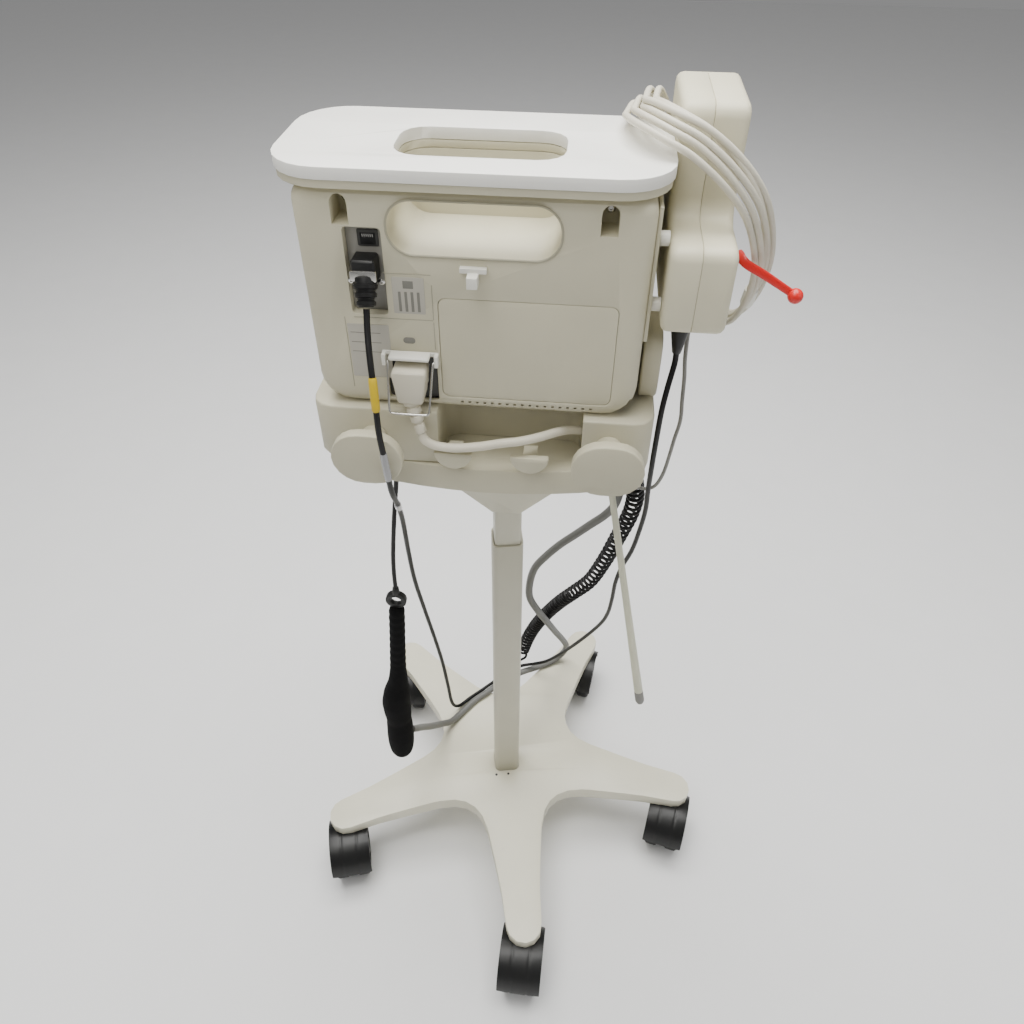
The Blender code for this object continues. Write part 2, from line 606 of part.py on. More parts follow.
# ---- Monitor --------------------------------------------------------------------------------
def make_housing():
    """The rear housing: a rounded shell, open at its screen side, with the hand recess on top."""
    width = HOUSING_RIGHT - HOUSING_LEFT
    height = HOUSING_TOP - HOUSING_BOTTOM
    middle_x = (HOUSING_RIGHT + HOUSING_LEFT) / 2
    middle_z = (HOUSING_TOP + HOUSING_BOTTOM) / 2
    depth = HOUSING_FRONT - REAR_FACE
    mesh = outline_mesh("rear_housing", [rounded(width, height, (0.012, 0.012, 0.026, 0.026), steps=5)],
                        depth)
    round_one_end(mesh, 1, 0.0100)
    housing = place("rear_housing", mesh, IVORY_PLASTIC,
                    (middle_x, (REAR_FACE + HOUSING_FRONT) / 2, middle_z), PLANES["XZ"])
    wall_y = REAR_FACE + 0.0035
    open_y = HOUSING_FRONT + 0.010
    cut(housing, box("main_cavity", (-0.0790, wall_y, 0.7970), (0.1090, open_y, 0.9180)))
    cut(housing, box("inlet_cavity", (-0.1400, wall_y + 0.012, 0.8010), (-0.0780, open_y, 0.8700)))
    cut(housing, prism("hand_recess", [rounded(0.126, 0.040, 0.0190, (HANDLE_X, 0.9470), 5)], 0.100,
                       plane="XZ", centre=(0, -0.0620, 0)))
    cut(housing, prism("hand_slot", [rounded(0.124, 0.062, 0.020, (HANDLE_X, -0.0345), 4)], 0.050,
                       centre=(0, 0, 0.9500 + 0.025)))
    for x in (-0.1120, 0.0800):
        pocket = arc((x, 0.9630), 0.0063, 0, 180, 8) + [(x - 0.0063, 0.9475), (x + 0.0063, 0.9475)]
        cut(housing, prism("screw_pocket", [pocket], 0.050, plane="XZ", centre=(0, REAR_FACE, 0)))
    cut(housing, prism("port_recess", [rounded(0.0285, 0.0690, 0.003, (-0.0976, 0.9118))], 0.026,
                       plane="XZ", centre=(0, REAR_FACE, 0)))
    cut(housing, prism("inlet_recess", [rounded(0.0416, 0.0416, 0.003, (-0.0688, 0.8212))], 0.040,
                       plane="XZ", centre=(0, REAR_FACE, 0)))
    cut(housing, prism("door_opening", [rounded(0.1376, 0.0886, 0.006, (0.0238, 0.8497))], 0.030,
                       plane="XZ", centre=(0, REAR_FACE, 0)))
    for number in range(18):
        x = -0.0290 + number * 0.106 / 17
        cut_vent = box("vent", (x - 0.0011, REAR_FACE - 0.01, 0.7992), (x + 0.0011, wall_y + 0.01, 0.8014))
        VENTS.append(cut_vent)
    return housing


def join_vents(housing):
    """One cutter holds all the vents, so that they are one Boolean step."""
    mesh = bpy.data.meshes.new("vent_row")
    form = bmesh.new()
    for vent in VENTS:
        start = len(form.verts)
        form.from_mesh(vent.data)
        form.verts.ensure_lookup_table()
        bmesh.ops.translate(form, vec=vent.location, verts=form.verts[start:])
        bpy.data.objects.remove(vent)
    form.to_mesh(mesh)
    form.free()
    cut(housing, place("vent_row", mesh, None))


def make_cap():
    """The rim and the top cap, both pierced by the hand slot."""
    slot = rounded(0.124, 0.062, 0.020, (HANDLE_X - CAP_X, -0.0345 - CAP_Y), 4)
    rim_plan = rounded(CAP_WIDTH - 0.003, CAP_DEPTH - 0.003, 0.038, steps=6)
    rim_bottom = HOUSING_TOP + GAP
    rim = prism("cap_rim", [rim_plan, slot], RIM_TOP - rim_bottom, IVORY_PLASTIC, "XY",
                (CAP_X, CAP_Y, (RIM_TOP + rim_bottom) / 2))
    soften(rim, 0.0015, 1)
    cap_bottom = RIM_TOP + GAP
    cap = prism("top_cap", [rounded(CAP_WIDTH, CAP_DEPTH, 0.040, steps=6), slot],
                CAP_TOP - cap_bottom, WHITE_PLASTIC, "XY", (CAP_X, CAP_Y, (CAP_TOP + cap_bottom) / 2))
    soften(cap, 0.003, 2)


def make_screen_side():
    """Bezel, display and power button."""
    height = HOUSING_TOP - BEZEL_BOTTOM
    middle_z = (HOUSING_TOP + BEZEL_BOTTOM) / 2
    back = HOUSING_FRONT + GAP
    window = (0.2360, 0.1680)
    window_shift = 0.012
    bezel = prism("front_bezel",
                  [rounded(CAP_WIDTH - 0.004, height, 0.016, (0, 0)),
                   rounded(window[0], window[1], 0.004, (0, window_shift))],
                  BEZEL_FRONT - back, WHITE_PLASTIC, "XZ", (CAP_X, (BEZEL_FRONT + back) / 2, middle_z))
    soften(bezel, 0.003)
    button_x = 0.0850
    button_z = BEZEL_BOTTOM + 0.0160
    cut(bezel, rod("button_bore", (button_x, BEZEL_FRONT - 0.007, button_z),
                   (button_x, BEZEL_FRONT + 0.010, button_z), 0.0073, sides=20))
    prism("display_panel", [rounded(window[0] - 2 * GAP, window[1] - 2 * GAP, 0.004)], 0.0140,
          SCREEN_GLASS, "XZ", (CAP_X, BEZEL_FRONT - 0.0105, middle_z + window_shift))
    slide = pivot("button_axis", (button_x, BEZEL_FRONT, button_z))
    button = rod("power_button", (0, -0.0050, 0), (0, 0.0018, 0), 0.0070, GREY_PLASTIC, sides=20,
                 parent=slide)
    soften(button, 0.0008, 1)


def make_inside():
    """What the housing holds: battery, main board, power supply."""
    box("battery_pack", (-0.0380, -0.0800, 0.8120), (0.0860, -0.0480, 0.8880), DARK_PLASTIC)
    box("main_board", (-0.0770, -0.0280, 0.8030), (0.1060, -0.0264, 0.9130), BOARD_GREEN)
    box("power_supply", (-0.1380, -0.0620, 0.8040), (-0.0800, -0.0340, 0.8660), STEEL_GREY)


def make_door():
    """The battery door, hinged along its lower edge."""
    hinge = pivot("door_axis", (0.0238, REAR_FACE, 0.8057))
    door = prism("battery_door", [rounded(0.1370, 0.0880, 0.006, (0, 0.0440))], 0.0028, IVORY_PLASTIC,
                 "XZ", (0, 0.0014, 0), hinge)
    soften(door, 0.0004, 1)


def make_ports():
    """The port recess: its insert, the plug in it, and the hook beside it."""
    insert_y = REAR_FACE + 0.0130 - GAP
    insert = prism("port_insert", [rounded(0.0279, 0.0684, 0.003, (-0.0976, 0.9118))], 0.0050,
                   GREY_PLASTIC, "XZ", (0, insert_y - 0.0025, 0))
    cut(insert, box("jack_hole", (-0.1005, insert_y - 0.02, 0.9290), (-0.0885, insert_y - 0.0012, 0.9410)))
    face = insert_y - 0.0050 - GAP
    plug = box("data_plug", (-0.1060, -0.0980, 0.9050), (-0.0880, face, 0.9250), BLACK_PLASTIC)
    soften(plug, 0.0015, 1)
    join(plug, rod("plug_boot", (-0.0958, -0.1040, 0.8915), (-0.0970, -0.0940, 0.9100), 0.0056,
                   end_radius=0.0088, sides=16))
    peg = box("cord_peg", (-0.0205, REAR_FACE - 0.0130, 0.9085), (-0.0125, REAR_FACE - GAP, 0.9175),
              WHITE_PLASTIC)
    join(peg, box("peg_root", (-0.0265, REAR_FACE - 0.0050, 0.9170), (-0.0065, REAR_FACE - GAP, 0.9210)))


def make_inlet():
    """The mains inlet, its hood, the plug in it and the wire that keeps the plug in."""
    middle = (-0.0688, 0.8212)
    face = REAR_FACE + 0.0040
    inlet = prism("mains_inlet", [rounded(0.0410, 0.0410, 0.003, middle)], 0.0150, DARK_PLASTIC, "XZ",
                  (0, face + 0.0075, 0))
    cut(inlet, prism("inlet_hole", [rounded(0.0246, 0.0166, 0.004, middle)], 0.0262, plane="XZ",
                     centre=(0, face, 0)))
    hood = box("inlet_hood", (-0.0850, -0.1000, 0.8432), (-0.0526, REAR_FACE - GAP, 0.8466),
               WHITE_PLASTIC)
    soften(hood, 0.001, 1)
    join(hood, box("hood_flange", (-0.0914, REAR_FACE - 0.0018, 0.8432),
                   (-0.0462, REAR_FACE - GAP, 0.8466)))
    for low, high in ((-0.0914, -0.0884), (-0.0492, -0.0462)):
        join(hood, box("hood_ear", (low, REAR_FACE - 0.0068, 0.8360), (high, REAR_FACE - GAP, 0.8460)))
    cut(hood, rod("ear_bore", (-0.1000, BAIL_AXIS_Y, BAIL_AXIS_Z), (-0.0380, BAIL_AXIS_Y, BAIL_AXIS_Z),
                  0.0012, sides=12))
    shell = [(-0.0828, 0.8350), (-0.0808, 0.8370), (-0.0568, 0.8370), (-0.0548, 0.8350),
             (-0.0582, 0.8085), (-0.0600, 0.8070), (-0.0776, 0.8070), (-0.0794, 0.8085)]
    plug_back = face - GAP
    plug = prism("mains_plug", [list(reversed(shell))], 0.0215, CREAM_PLASTIC, "XZ",
                 (0, plug_back - 0.01075, 0))
    soften(plug, 0.0015, 1)
    join(plug, prism("plug_nose", [rounded(0.0240, 0.0160, 0.004, middle)], 0.0140, plane="XZ",
                     centre=(0, plug_back + 0.0060, 0)))
    join(plug, relief("plug_relief", (-0.0700, -0.0985, 0.8085), (-0.0620, -0.1045, 0.7790), 0.0070,
                      0.0048))
    make_bail()


def relief(name, start, end, wide, narrow):
    """A ribbed strain relief that tapers from one point to another."""
    start = Vector(start)
    end = Vector(end)
    length = (end - start).length
    ribs = 4
    profile = [(0, 0)]
    for rib in range(ribs):
        radius = wide + (narrow - wide) * rib / (ribs - 1)
        top = -length * rib / ribs
        profile += [(radius, top), (radius, top - length * 0.62 / ribs)]
        if rib < ribs - 1:
            waist = radius * 0.72
            profile += [(waist, top - length * 0.66 / ribs), (waist, top - length * 0.98 / ribs)]
    profile += [(narrow, -length), (0, -length)]
    rotation = (start - end).to_track_quat("Z", "Y").to_euler()
    return turned(name, profile, None, 14, start, rotation)


def make_bail():
    """The wire bail: two arms from pivots beside the inlet to a cross wire over the plug."""
    half = 0.0222
    arm = 0.0182
    hinge = pivot("bail_axis", (-0.0688, BAIL_AXIS_Y, BAIL_AXIS_Z))
    low_y = -0.1125 - BAIL_AXIS_Y
    low_z = 0.8020 - BAIL_AXIS_Z
    points = [(-half, 0, 0), (-arm, 0, 0), (-arm, low_y * 0.35, low_z * 0.12),
              (-0.0160, low_y * 0.93, low_z * 0.80), (-0.0120, low_y, low_z),
              (0.0120, low_y, low_z), (0.0160, low_y * 0.93, low_z * 0.80),
              (arm, low_y * 0.35, low_z * 0.12), (arm, 0, 0), (half, 0, 0)]
    wire("retainer_bail", points, 0.0008, STEEL_WIRE, 2, parent=hinge)


# ---- Side dock ------------------------------------------------------------------------------
def dock_outline(inset):
    """Side view of the dock: a low box towards the connector side and a tower behind it."""
    r = max(0.0005, 0.0100 - inset)
    back = -0.0900 + inset
    front = 0.0600 - inset
    bottom = DOCK_BOTTOM + inset
    step = DOCK_STEP - inset
    top = DOCK_TOP - inset
    wall = -0.0300 + inset
    points = arc((back + r, bottom + r), r, 180, 270, 3)
    points += arc((front - r, bottom + r), r, 270, 360, 3)
    points += arc((front - r, top - r), r, 0, 90, 3)
    points += arc((wall + r, top - r), r, 90, 180, 3)
    fillet = 0.0150
    points += arc((wall - fillet, step + fillet), fillet, 360, 270, 4)
    points += arc((back + r, step - r), r, 90, 180, 3)
    return points


def make_dock():
    """The dock's two half shells, its board, and what holds it beside the monitor."""
    wall = 0.0025
    halves = (("dock_inner_shell", DOCK_INNER, DOCK_SEAM - GAP / 2, 1),
              ("dock_outer_shell", DOCK_OUTER, DOCK_SEAM + GAP / 2, -1))
    for name, outside, seam, inward in halves:
        thickness = abs(seam - outside)
        mesh = outline_mesh(name, [dock_outline(0)], thickness)
        round_one_end(mesh, -inward, 0.0055)
        shell = place(name, mesh, IVORY_PLASTIC, ((outside + seam) / 2, 0, 0), PLANES["YZ"])
        hollow_from = outside + inward * wall
        hollow_to = seam + inward * 0.010
        cut(shell, prism("dock_hollow", [dock_outline(0.0060)], abs(hollow_to - hollow_from), None,
                         "YZ", ((hollow_from + hollow_to) / 2, 0, 0)))
    box("dock_board", (DOCK_SEAM - 0.0008, -0.0780, 0.8820), (DOCK_SEAM + 0.0008, 0.0480, 0.9300),
        BOARD_GREEN)
    plate_left = HOUSING_RIGHT + GAP
    plate_right = plate_left + 0.0030
    box("side_bracket", (plate_left, -0.0780, 0.8600), (plate_right, -0.0020, 0.9660), DARK_PLASTIC)
    spots = ((0.0095, 0.9400), (0.0095, 0.8880), (0.0660, 0.9140))
    for number, (inset, z) in enumerate(spots, start=1):
        y = -0.0780 + inset
        rod("standoff_%d" % number, (plate_right + GAP, y, z), (DOCK_INNER - GAP, y, z), 0.0055,
            WHITE_PLASTIC)
    turned("dock_relief", [(0, 0.8727), (0.0085, 0.8727), (0.0085, 0.8680), (0.0050, 0.8480),
                           (0.0036, 0.8405), (0, 0.8405)], BLACK_PLASTIC, 16, (0.1430, -0.0580, 0))
    join(shell, turned("sensor_relief", [(0, 0.8800), (0.0042, 0.8800), (0.0042, 0.8690),
                                         (0.0026, 0.8565), (0, 0.8565)], None, 12, (0.1530, -0.0350, 0)))


# ---- Hand unit and red tag ------------------------------------------------------------------
def make_hand_unit():
    """The black hand unit that hangs on its own lead, with the air hose at its side."""
    top = Vector((-0.1165, -0.0605, 0.5020))
    bottom = Vector((-0.1390, -0.0600, 0.1980))
    length = (bottom - top).length
    rotation = (top - bottom).to_track_quat("Z", "Y").to_euler()
    profile = [(0, 0), (0.0070, 0), (0.0090, -0.004), (0.0092, -0.060), (0.0098, -0.115),
               (0.0120, -0.140), (0.0165, -0.160), (0.0180, -0.183), (0.0168, -0.207),
               (0.0155, -0.219), (0.0168, -0.232), (0.0170, -0.270), (0.0150, -0.290),
               (0.0090, -length + 0.002), (0, -length)]
    unit = turned("hand_unit", profile, BLACK_FABRIC, 18, top, rotation)
    eye = prism("hang_ring", [arc((-0.1158, 0.5142), 0.0115, 0, 342, 19),
                              arc((-0.1158, 0.5142), 0.0062, 0, 330, 11)], 0.0060, BLACK_PLASTIC, "XZ",
                (0, -0.0605, 0))
    join(eye, rod("eye_neck", (-0.1155, -0.0603, 0.5240), (-0.1151, -0.0600, 0.5325), 0.0044,
                  end_radius=0.0034))
    fitting = rod("hose_fitting", (-0.1352, -0.0570, 0.2480), (-0.1250, -0.0393, 0.2261), 0.0062)
    join(unit, fitting)


def make_tag():
    """The red tag that hangs off the patient lead."""
    tag = rod("red_tag", (0.1835, -0.0490, 0.9155), (0.2235, -0.0540, 0.8945), 0.0026, RED_PLASTIC,
              sides=12)
    form = bmesh.new()
    bmesh.ops.create_uvsphere(form, u_segments=12, v_segments=8, radius=0.0062)
    mesh = bpy.data.meshes.new("tag_ball")
    form.to_mesh(mesh)
    form.free()
    join(tag, place("tag_ball", mesh, None, (0.2257, -0.0543, 0.8930)))


# ---- Cords ----------------------------------------------------------------------------------
def make_cords():
    """Every free cord as a plain tube, and each coil as one plain solid."""
    cords = (("data_lead", DATA_ROUTE, DATA_CORD, BLACK_RUBBER),
             ("air_hose", HOSE_ROUTE, HOSE, HOSE_RUBBER),
             ("curly_cord", CURL_ROUTE, CURL_OUTER, BLACK_RUBBER),
             ("curly_cord_top_tail", CURL_TOP_TAIL, CURL_CORD, BLACK_RUBBER),
             ("curly_cord_end_tail", CURL_END_TAIL, CURL_CORD, BLACK_RUBBER),
             ("sensor_lead", SENSOR_ROUTE, SENSOR_CORD, GREY_RUBBER),
             ("mains_lead", MAINS_ROUTE, MAINS_CORD, CREAM_PLASTIC),
             ("hand_lead", HAND_ROUTE, HAND_CORD, BLACK_RUBBER))
    for name, route, diameter, material in cords:
        spacing = max(0.010, 2.6 * diameter)
        wire(name, smooth_path(route, spacing), diameter / 2, material, 2)
    wire("patient_lead_hank", HANK_ROUTE, HANK_RADIUS, WHITE_RUBBER, 3, closed=True)


# ---- Build ----------------------------------------------------------------------------------
clear_scene()
PARTS = new_collection("patient_monitor_on_roll_stand")
CUTTERS = new_collection("cutters")
VENTS = []
STAND = bpy.data.objects.new("stand", None)
STAND.location = (POLE_X, POLE_Y, 0)
PARTS.objects.link(STAND)

IVORY_PAINT = plastic("ivory_paint", IVORY, 0.45)
IVORY_PLASTIC = plastic("ivory_plastic", IVORY, 0.55)
WHITE_PLASTIC = plastic("white_plastic", WHITE, 0.45)
CREAM_PLASTIC = plastic("cream_plastic", (0.70, 0.66, 0.55, 1), 0.5)
BLACK_PLASTIC = plastic("black_plastic", BLACK, 0.45)
BLACK_RUBBER = plastic("black_rubber", BLACK, 0.6)
BLACK_FABRIC = plastic("black_fabric", BLACK, 0.85)
TYRE_RUBBER = plastic("tyre_rubber", (0.025, 0.025, 0.026, 1), 0.7)
DARK_PLASTIC = plastic("dark_plastic", DARK_GREY, 0.5)
GREY_PLASTIC = plastic("grey_plastic", LIGHT_GREY, 0.5)
GREY_RUBBER = plastic("grey_rubber", (0.30, 0.31, 0.29, 1), 0.6)
HOSE_RUBBER = plastic("hose_rubber", HOSE_GREY, 0.6)
WHITE_RUBBER = plastic("white_rubber", (0.75, 0.74, 0.68, 1), 0.5)
RED_PLASTIC = plastic("red_plastic", RED, 0.4)
STEEL_GREY = plastic("steel_grey", STEEL, 0.35, 1.0)
STEEL_WIRE = plastic("steel_wire", STEEL, 0.3, 1.0)
BOARD_GREEN = plastic("board_green", GREEN, 0.5)
SCREEN_GLASS = plastic("screen_glass", GLASS, 0.1)

make_base()
for leg_number in range(5):
    make_caster(leg_number)
make_pole()
make_head()
make_wand()
join_vents(make_housing())
make_cap()
make_screen_side()
make_inside()
make_door()
make_ports()
make_inlet()
make_dock()
make_hand_unit()
make_tag()
make_cords()
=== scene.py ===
"""Bedside patient monitor on a five-leg roll stand: finishes, cords and small parts around its frame."""
import json
import math

import bpy
import numpy as np
from bpy.props import FloatProperty, FloatVectorProperty, IntProperty, PointerProperty
from mathutils import Matrix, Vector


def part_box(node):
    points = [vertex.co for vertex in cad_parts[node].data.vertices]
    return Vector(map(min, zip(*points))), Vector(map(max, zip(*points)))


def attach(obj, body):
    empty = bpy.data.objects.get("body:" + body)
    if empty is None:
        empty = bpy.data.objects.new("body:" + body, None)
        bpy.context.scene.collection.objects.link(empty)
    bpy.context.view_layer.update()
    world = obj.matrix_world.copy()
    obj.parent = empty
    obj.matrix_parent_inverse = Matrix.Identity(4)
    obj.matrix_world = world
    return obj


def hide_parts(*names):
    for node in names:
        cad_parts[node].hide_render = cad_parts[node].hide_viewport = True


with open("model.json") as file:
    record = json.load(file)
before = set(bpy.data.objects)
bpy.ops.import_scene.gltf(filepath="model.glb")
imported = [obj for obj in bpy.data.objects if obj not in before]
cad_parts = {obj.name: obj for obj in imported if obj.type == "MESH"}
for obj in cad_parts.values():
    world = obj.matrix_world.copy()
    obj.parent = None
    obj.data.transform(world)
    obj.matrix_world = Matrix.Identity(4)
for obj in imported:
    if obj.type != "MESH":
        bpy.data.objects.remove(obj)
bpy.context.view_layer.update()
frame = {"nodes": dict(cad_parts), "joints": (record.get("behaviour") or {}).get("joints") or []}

bl_info = {
    "name": "Monitor stand finishing",
    "version": (1, 0, 0),
    "blender": (4, 5, 0),
    "location": "View3D > Sidebar > Stand",
    "description": "Cords, fittings and finishes for a patient monitor on its roll stand",
    "category": "Object",
}

POLE = np.array([-0.0137, 0.0138, 0.0])   # the pole's axis at floor level
REAR = -0.0885                            # the housing's connector face, from the pole's axis

# Where each cord runs, in metres from the pole's axis
DATA_ROUTE = (
    (0.1430, -0.0580, 0.8401), (0.1429, -0.0583, 0.8300), (0.1395, -0.0650, 0.8110),
    (0.1372, -0.0685, 0.7900), (0.1368, -0.0660, 0.7570), (0.1375, -0.0580, 0.7190),
    (0.1390, -0.0460, 0.6830), (0.1410, -0.0340, 0.6460), (0.1400, -0.0200, 0.6060),
    (0.1370, -0.0040, 0.5600), (0.1300, 0.0100, 0.5180), (0.1265, 0.0230, 0.4780),
    (0.1265, 0.0400, 0.4280), (0.1250, 0.0600, 0.3780), (0.1180, 0.0850, 0.3250),
    (0.0960, 0.1150, 0.2520), (0.0710, 0.1420, 0.1850), (0.0490, 0.1570, 0.1430),
    (0.0290, 0.1630, 0.1250), (0.0100, 0.1620, 0.1190), (-0.0080, 0.1570, 0.1130),
    (-0.0260, 0.1420, 0.1085), (-0.0460, 0.1210, 0.1080), (-0.0660, 0.1010, 0.1080),
    (-0.0820, 0.0810, 0.1120), (-0.0890, 0.0650, 0.1420), (-0.0910, 0.0530, 0.2050),
    (-0.0935, 0.0420, 0.2700), (-0.0980, 0.0300, 0.3340), (-0.1030, 0.0100, 0.4160),
    (-0.1050, -0.0150, 0.4970), (-0.1020, -0.0400, 0.5710), (-0.0960, -0.0700, 0.6430),
    (-0.0910, -0.0990, 0.6900), (-0.0875, -0.1240, 0.7250), (-0.0862, -0.1345, 0.7500),
    (-0.0868, -0.1375, 0.7750), (-0.0882, -0.1385, 0.8000), (-0.0886, -0.1370, 0.8220),
    (-0.0900, -0.1315, 0.8450), (-0.0927, -0.1220, 0.8620), (-0.0948, -0.1125, 0.8762),
    (-0.0957, -0.1046, 0.8904),
)
HOSE_ROUTE = (
    (0.1180, 0.0280, 0.6800), (0.1183, 0.0270, 0.6580), (0.1185, 0.0240, 0.6250),
    (0.1150, 0.0250, 0.5990), (0.1060, 0.0300, 0.5780), (0.0910, 0.0360, 0.5560),
    (0.0750, 0.0430, 0.5320), (0.0580, 0.0480, 0.5090), (0.0420, 0.0540, 0.4820),
    (0.0290, 0.0600, 0.4540), (0.0230, 0.0655, 0.4210), (0.0230, 0.0710, 0.3870),
    (0.0330, 0.0780, 0.3550), (0.0470, 0.0950, 0.3110), (0.0600, 0.1270, 0.2510),
    (0.0690, 0.1540, 0.2050), (0.0760, 0.1770, 0.1640), (0.0775, 0.1890, 0.1400),
    (0.0735, 0.1940, 0.1200), (0.0610, 0.1870, 0.1090), (0.0450, 0.1765, 0.1078),
    (0.0290, 0.1668, 0.1085), (0.0090, 0.1560, 0.1092), (-0.0170, 0.1390, 0.1092),
    (-0.0380, 0.1160, 0.1092), (-0.0590, 0.0950, 0.1092), (-0.0760, 0.0710, 0.1094),
    (-0.0890, 0.0500, 0.1150), (-0.1000, 0.0290, 0.1380), (-0.1090, 0.0040, 0.1690),
    (-0.1165, -0.0180, 0.1990), (-0.1207, -0.0318, 0.2169), (-0.1247, -0.0387, 0.2255),
)
CURL_ROUTE = (
    (0.1240, 0.0080, 0.6725), (0.1262, 0.0085, 0.6600), (0.1315, 0.0105, 0.6430),
    (0.1345, 0.0160, 0.6180), (0.1325, 0.0270, 0.5830), (0.1230, 0.0400, 0.5330),
    (0.1130, 0.0520, 0.4850), (0.0990, 0.0660, 0.4330), (0.0810, 0.0790, 0.3950),
    (0.0635, 0.0940, 0.3570), (0.0475, 0.1085, 0.3170), (0.0320, 0.1160, 0.2800),
    (0.0210, 0.1150, 0.2520), (0.0130, 0.1115, 0.2240), (0.0060, 0.1030, 0.2040),
)
CURL_END = (
    (0.0058, 0.1027, 0.2033), (0.0035, 0.0970, 0.1925), (0.0025, 0.0830, 0.1850),
    (0.0030, 0.0640, 0.1880), (0.0035, 0.0460, 0.1980), (0.0035, 0.0320, 0.2060),
    (0.0035, 0.0200, 0.2090),
)
SENSOR_ROUTE = (
    (0.1530, -0.0350, 0.8562), (0.1532, -0.0345, 0.8400), (0.1545, -0.0325, 0.8190),
    (0.1570, -0.0300, 0.7990), (0.1585, -0.0300, 0.7760), (0.1600, -0.0300, 0.7540),
    (0.1575, -0.0300, 0.7320), (0.1560, -0.0280, 0.7120), (0.1540, -0.0220, 0.6850),
    (0.1500, -0.0110, 0.6600), (0.1430, -0.0040, 0.6490), (0.1330, -0.0060, 0.6520),
    (0.1240, -0.0090, 0.6640), (0.1202, -0.0100, 0.6799),
)
MAINS_ROUTE = (
    (-0.0618, -0.1046, 0.7784), (-0.0602, -0.1058, 0.7735), (-0.0555, -0.1068, 0.7698),
    (-0.0470, -0.1076, 0.7675), (-0.0320, -0.1080, 0.7672), (-0.0120, -0.1080, 0.7705),
    (0.0040, -0.1070, 0.7740), (0.0210, -0.1040, 0.7755), (0.0370, -0.0970, 0.7760),
    (0.0500, -0.0870, 0.7745), (0.0600, -0.0780, 0.7710), (0.0705, -0.0720, 0.7670),
)
HAND_ROUTE = (
    (-0.1020, -0.0500, 0.6970), (-0.1025, -0.0500, 0.6850), (-0.1045, -0.0500, 0.6680),
    (-0.1070, -0.0500, 0.6500), (-0.1100, -0.0520, 0.6250), (-0.1135, -0.0540, 0.5910),
    (-0.1150, -0.0560, 0.5700), (-0.1155, -0.0580, 0.5500), (-0.1151, -0.0600, 0.5331),
)
HANK_ROUTE = (
    (0.0970, 0.0100, 1.0050), (0.1030, -0.0220, 1.0110), (0.1180, -0.0440, 1.0100),
    (0.1400, -0.0520, 1.0010), (0.1640, -0.0550, 0.9820), (0.1830, -0.0510, 0.9580),
    (0.1950, -0.0410, 0.9300), (0.2010, -0.0300, 0.9020), (0.1990, -0.0200, 0.8720),
    (0.1900, -0.0080, 0.8490), (0.1740, 0.0140, 0.8430), (0.1560, 0.0460, 0.8490),
    (0.1420, 0.0730, 0.8760), (0.1310, 0.0810, 0.9250), (0.1180, 0.0720, 0.9740),
    (0.1040, 0.0480, 1.0020),
)
HAND_TOP = np.array([-0.1165, -0.0605, 0.5020])
HAND_BOTTOM = np.array([-0.1390, -0.0600, 0.1980])

COIL_REACH = 0.0098      # the curly cord's outer radius
COIL_STEPS = 24          # path points to each of its turns
RING_STEPS = 240         # path points to each turn of the patient lead
RING_START = 196         # where on its ring the patient lead begins
CAP_REST = 0.9934        # lowest height of the patient lead's middle line where it lies on the cap
HUB_FACE = 0.0238        # a wheel's outer face, from the middle of its axle


# ---- Settings a user would change -----------------------------------------------------------
class CordSettings(bpy.types.PropertyGroup):
    """Diameters and turns of the cords."""
    data_width: FloatProperty(name="Data lead", description="Diameter of the black data lead",
                              default=0.0050, unit="LENGTH")
    hose_width: FloatProperty(name="Air hose", description="Diameter of the grey air hose",
                              default=0.0095, unit="LENGTH")
    curl_wire: FloatProperty(name="Curly cord", description="Diameter of the curly cord's own wire",
                             default=0.0036, unit="LENGTH")
    curl_turns: IntProperty(name="Curls", description="Turns in the curly cord", default=62)
    hank_wire: FloatProperty(name="Patient lead", description="Diameter of the coiled white lead",
                             default=0.0052, unit="LENGTH")
    hank_turns: FloatProperty(name="Hank turns", description="Turns in the white hank", default=4.6)


class FinishSettings(bpy.types.PropertyGroup):
    """Colours of the main finishes."""
    cap: FloatVectorProperty(name="Cap", description="Top cap plastic", subtype="COLOR",
                             default=(0.88, 0.87, 0.82))
    body: FloatVectorProperty(name="Body", description="Housing plastic", subtype="COLOR",
                              default=(0.60, 0.565, 0.420))
    stand: FloatVectorProperty(name="Stand", description="Base and pole paint", subtype="COLOR",
                               default=(0.76, 0.730, 0.580))
    hose: FloatVectorProperty(name="Hose", description="Air hose rubber", subtype="COLOR",
                              default=(0.15, 0.15, 0.14))


# ---- Geometry tools -------------------------------------------------------------------------
def unit(vectors):
    """Vectors divided by their lengths."""
    return vectors / np.linalg.norm(vectors, axis=-1, keepdims=True)


def resample(route, count):
    """Points evenly spaced along a Catmull-Rom curve through the route.

    Between points b and c with neighbours a and d, place = b + ((c-a)t + (2a-5b+4c-d)t^2
    + (3b-a-3c+d)t^3) / 2 for t from 0 to 1.
    """
    p = np.asarray(route, float)
    p = np.vstack([2 * p[0] - p[1], p, 2 * p[-1] - p[-2]])
    t = np.linspace(0, 1, 24, endpoint=False)[None, :, None]
    a, b, c, d = (p[k:len(p) - 3 + k][:, None, :] for k in range(4))
    fine = b + ((c - a) * t + (2 * a - 5 * b + 4 * c - d) * t ** 2
                + (3 * b - a - 3 * c + d) * t ** 3) / 2
    fine = np.vstack([fine.reshape(-1, 3), p[-2]])
    return evenly(fine, count)


def evenly(points, count):
    """The same line with its points evenly spaced."""
    steps = np.linalg.norm(np.diff(points, axis=0), axis=1)
    run = np.concatenate([[0], np.cumsum(steps)])
    goal = np.linspace(0, run[-1], count)
    return np.stack([np.interp(goal, run, points[:, k]) for k in range(3)], axis=1)


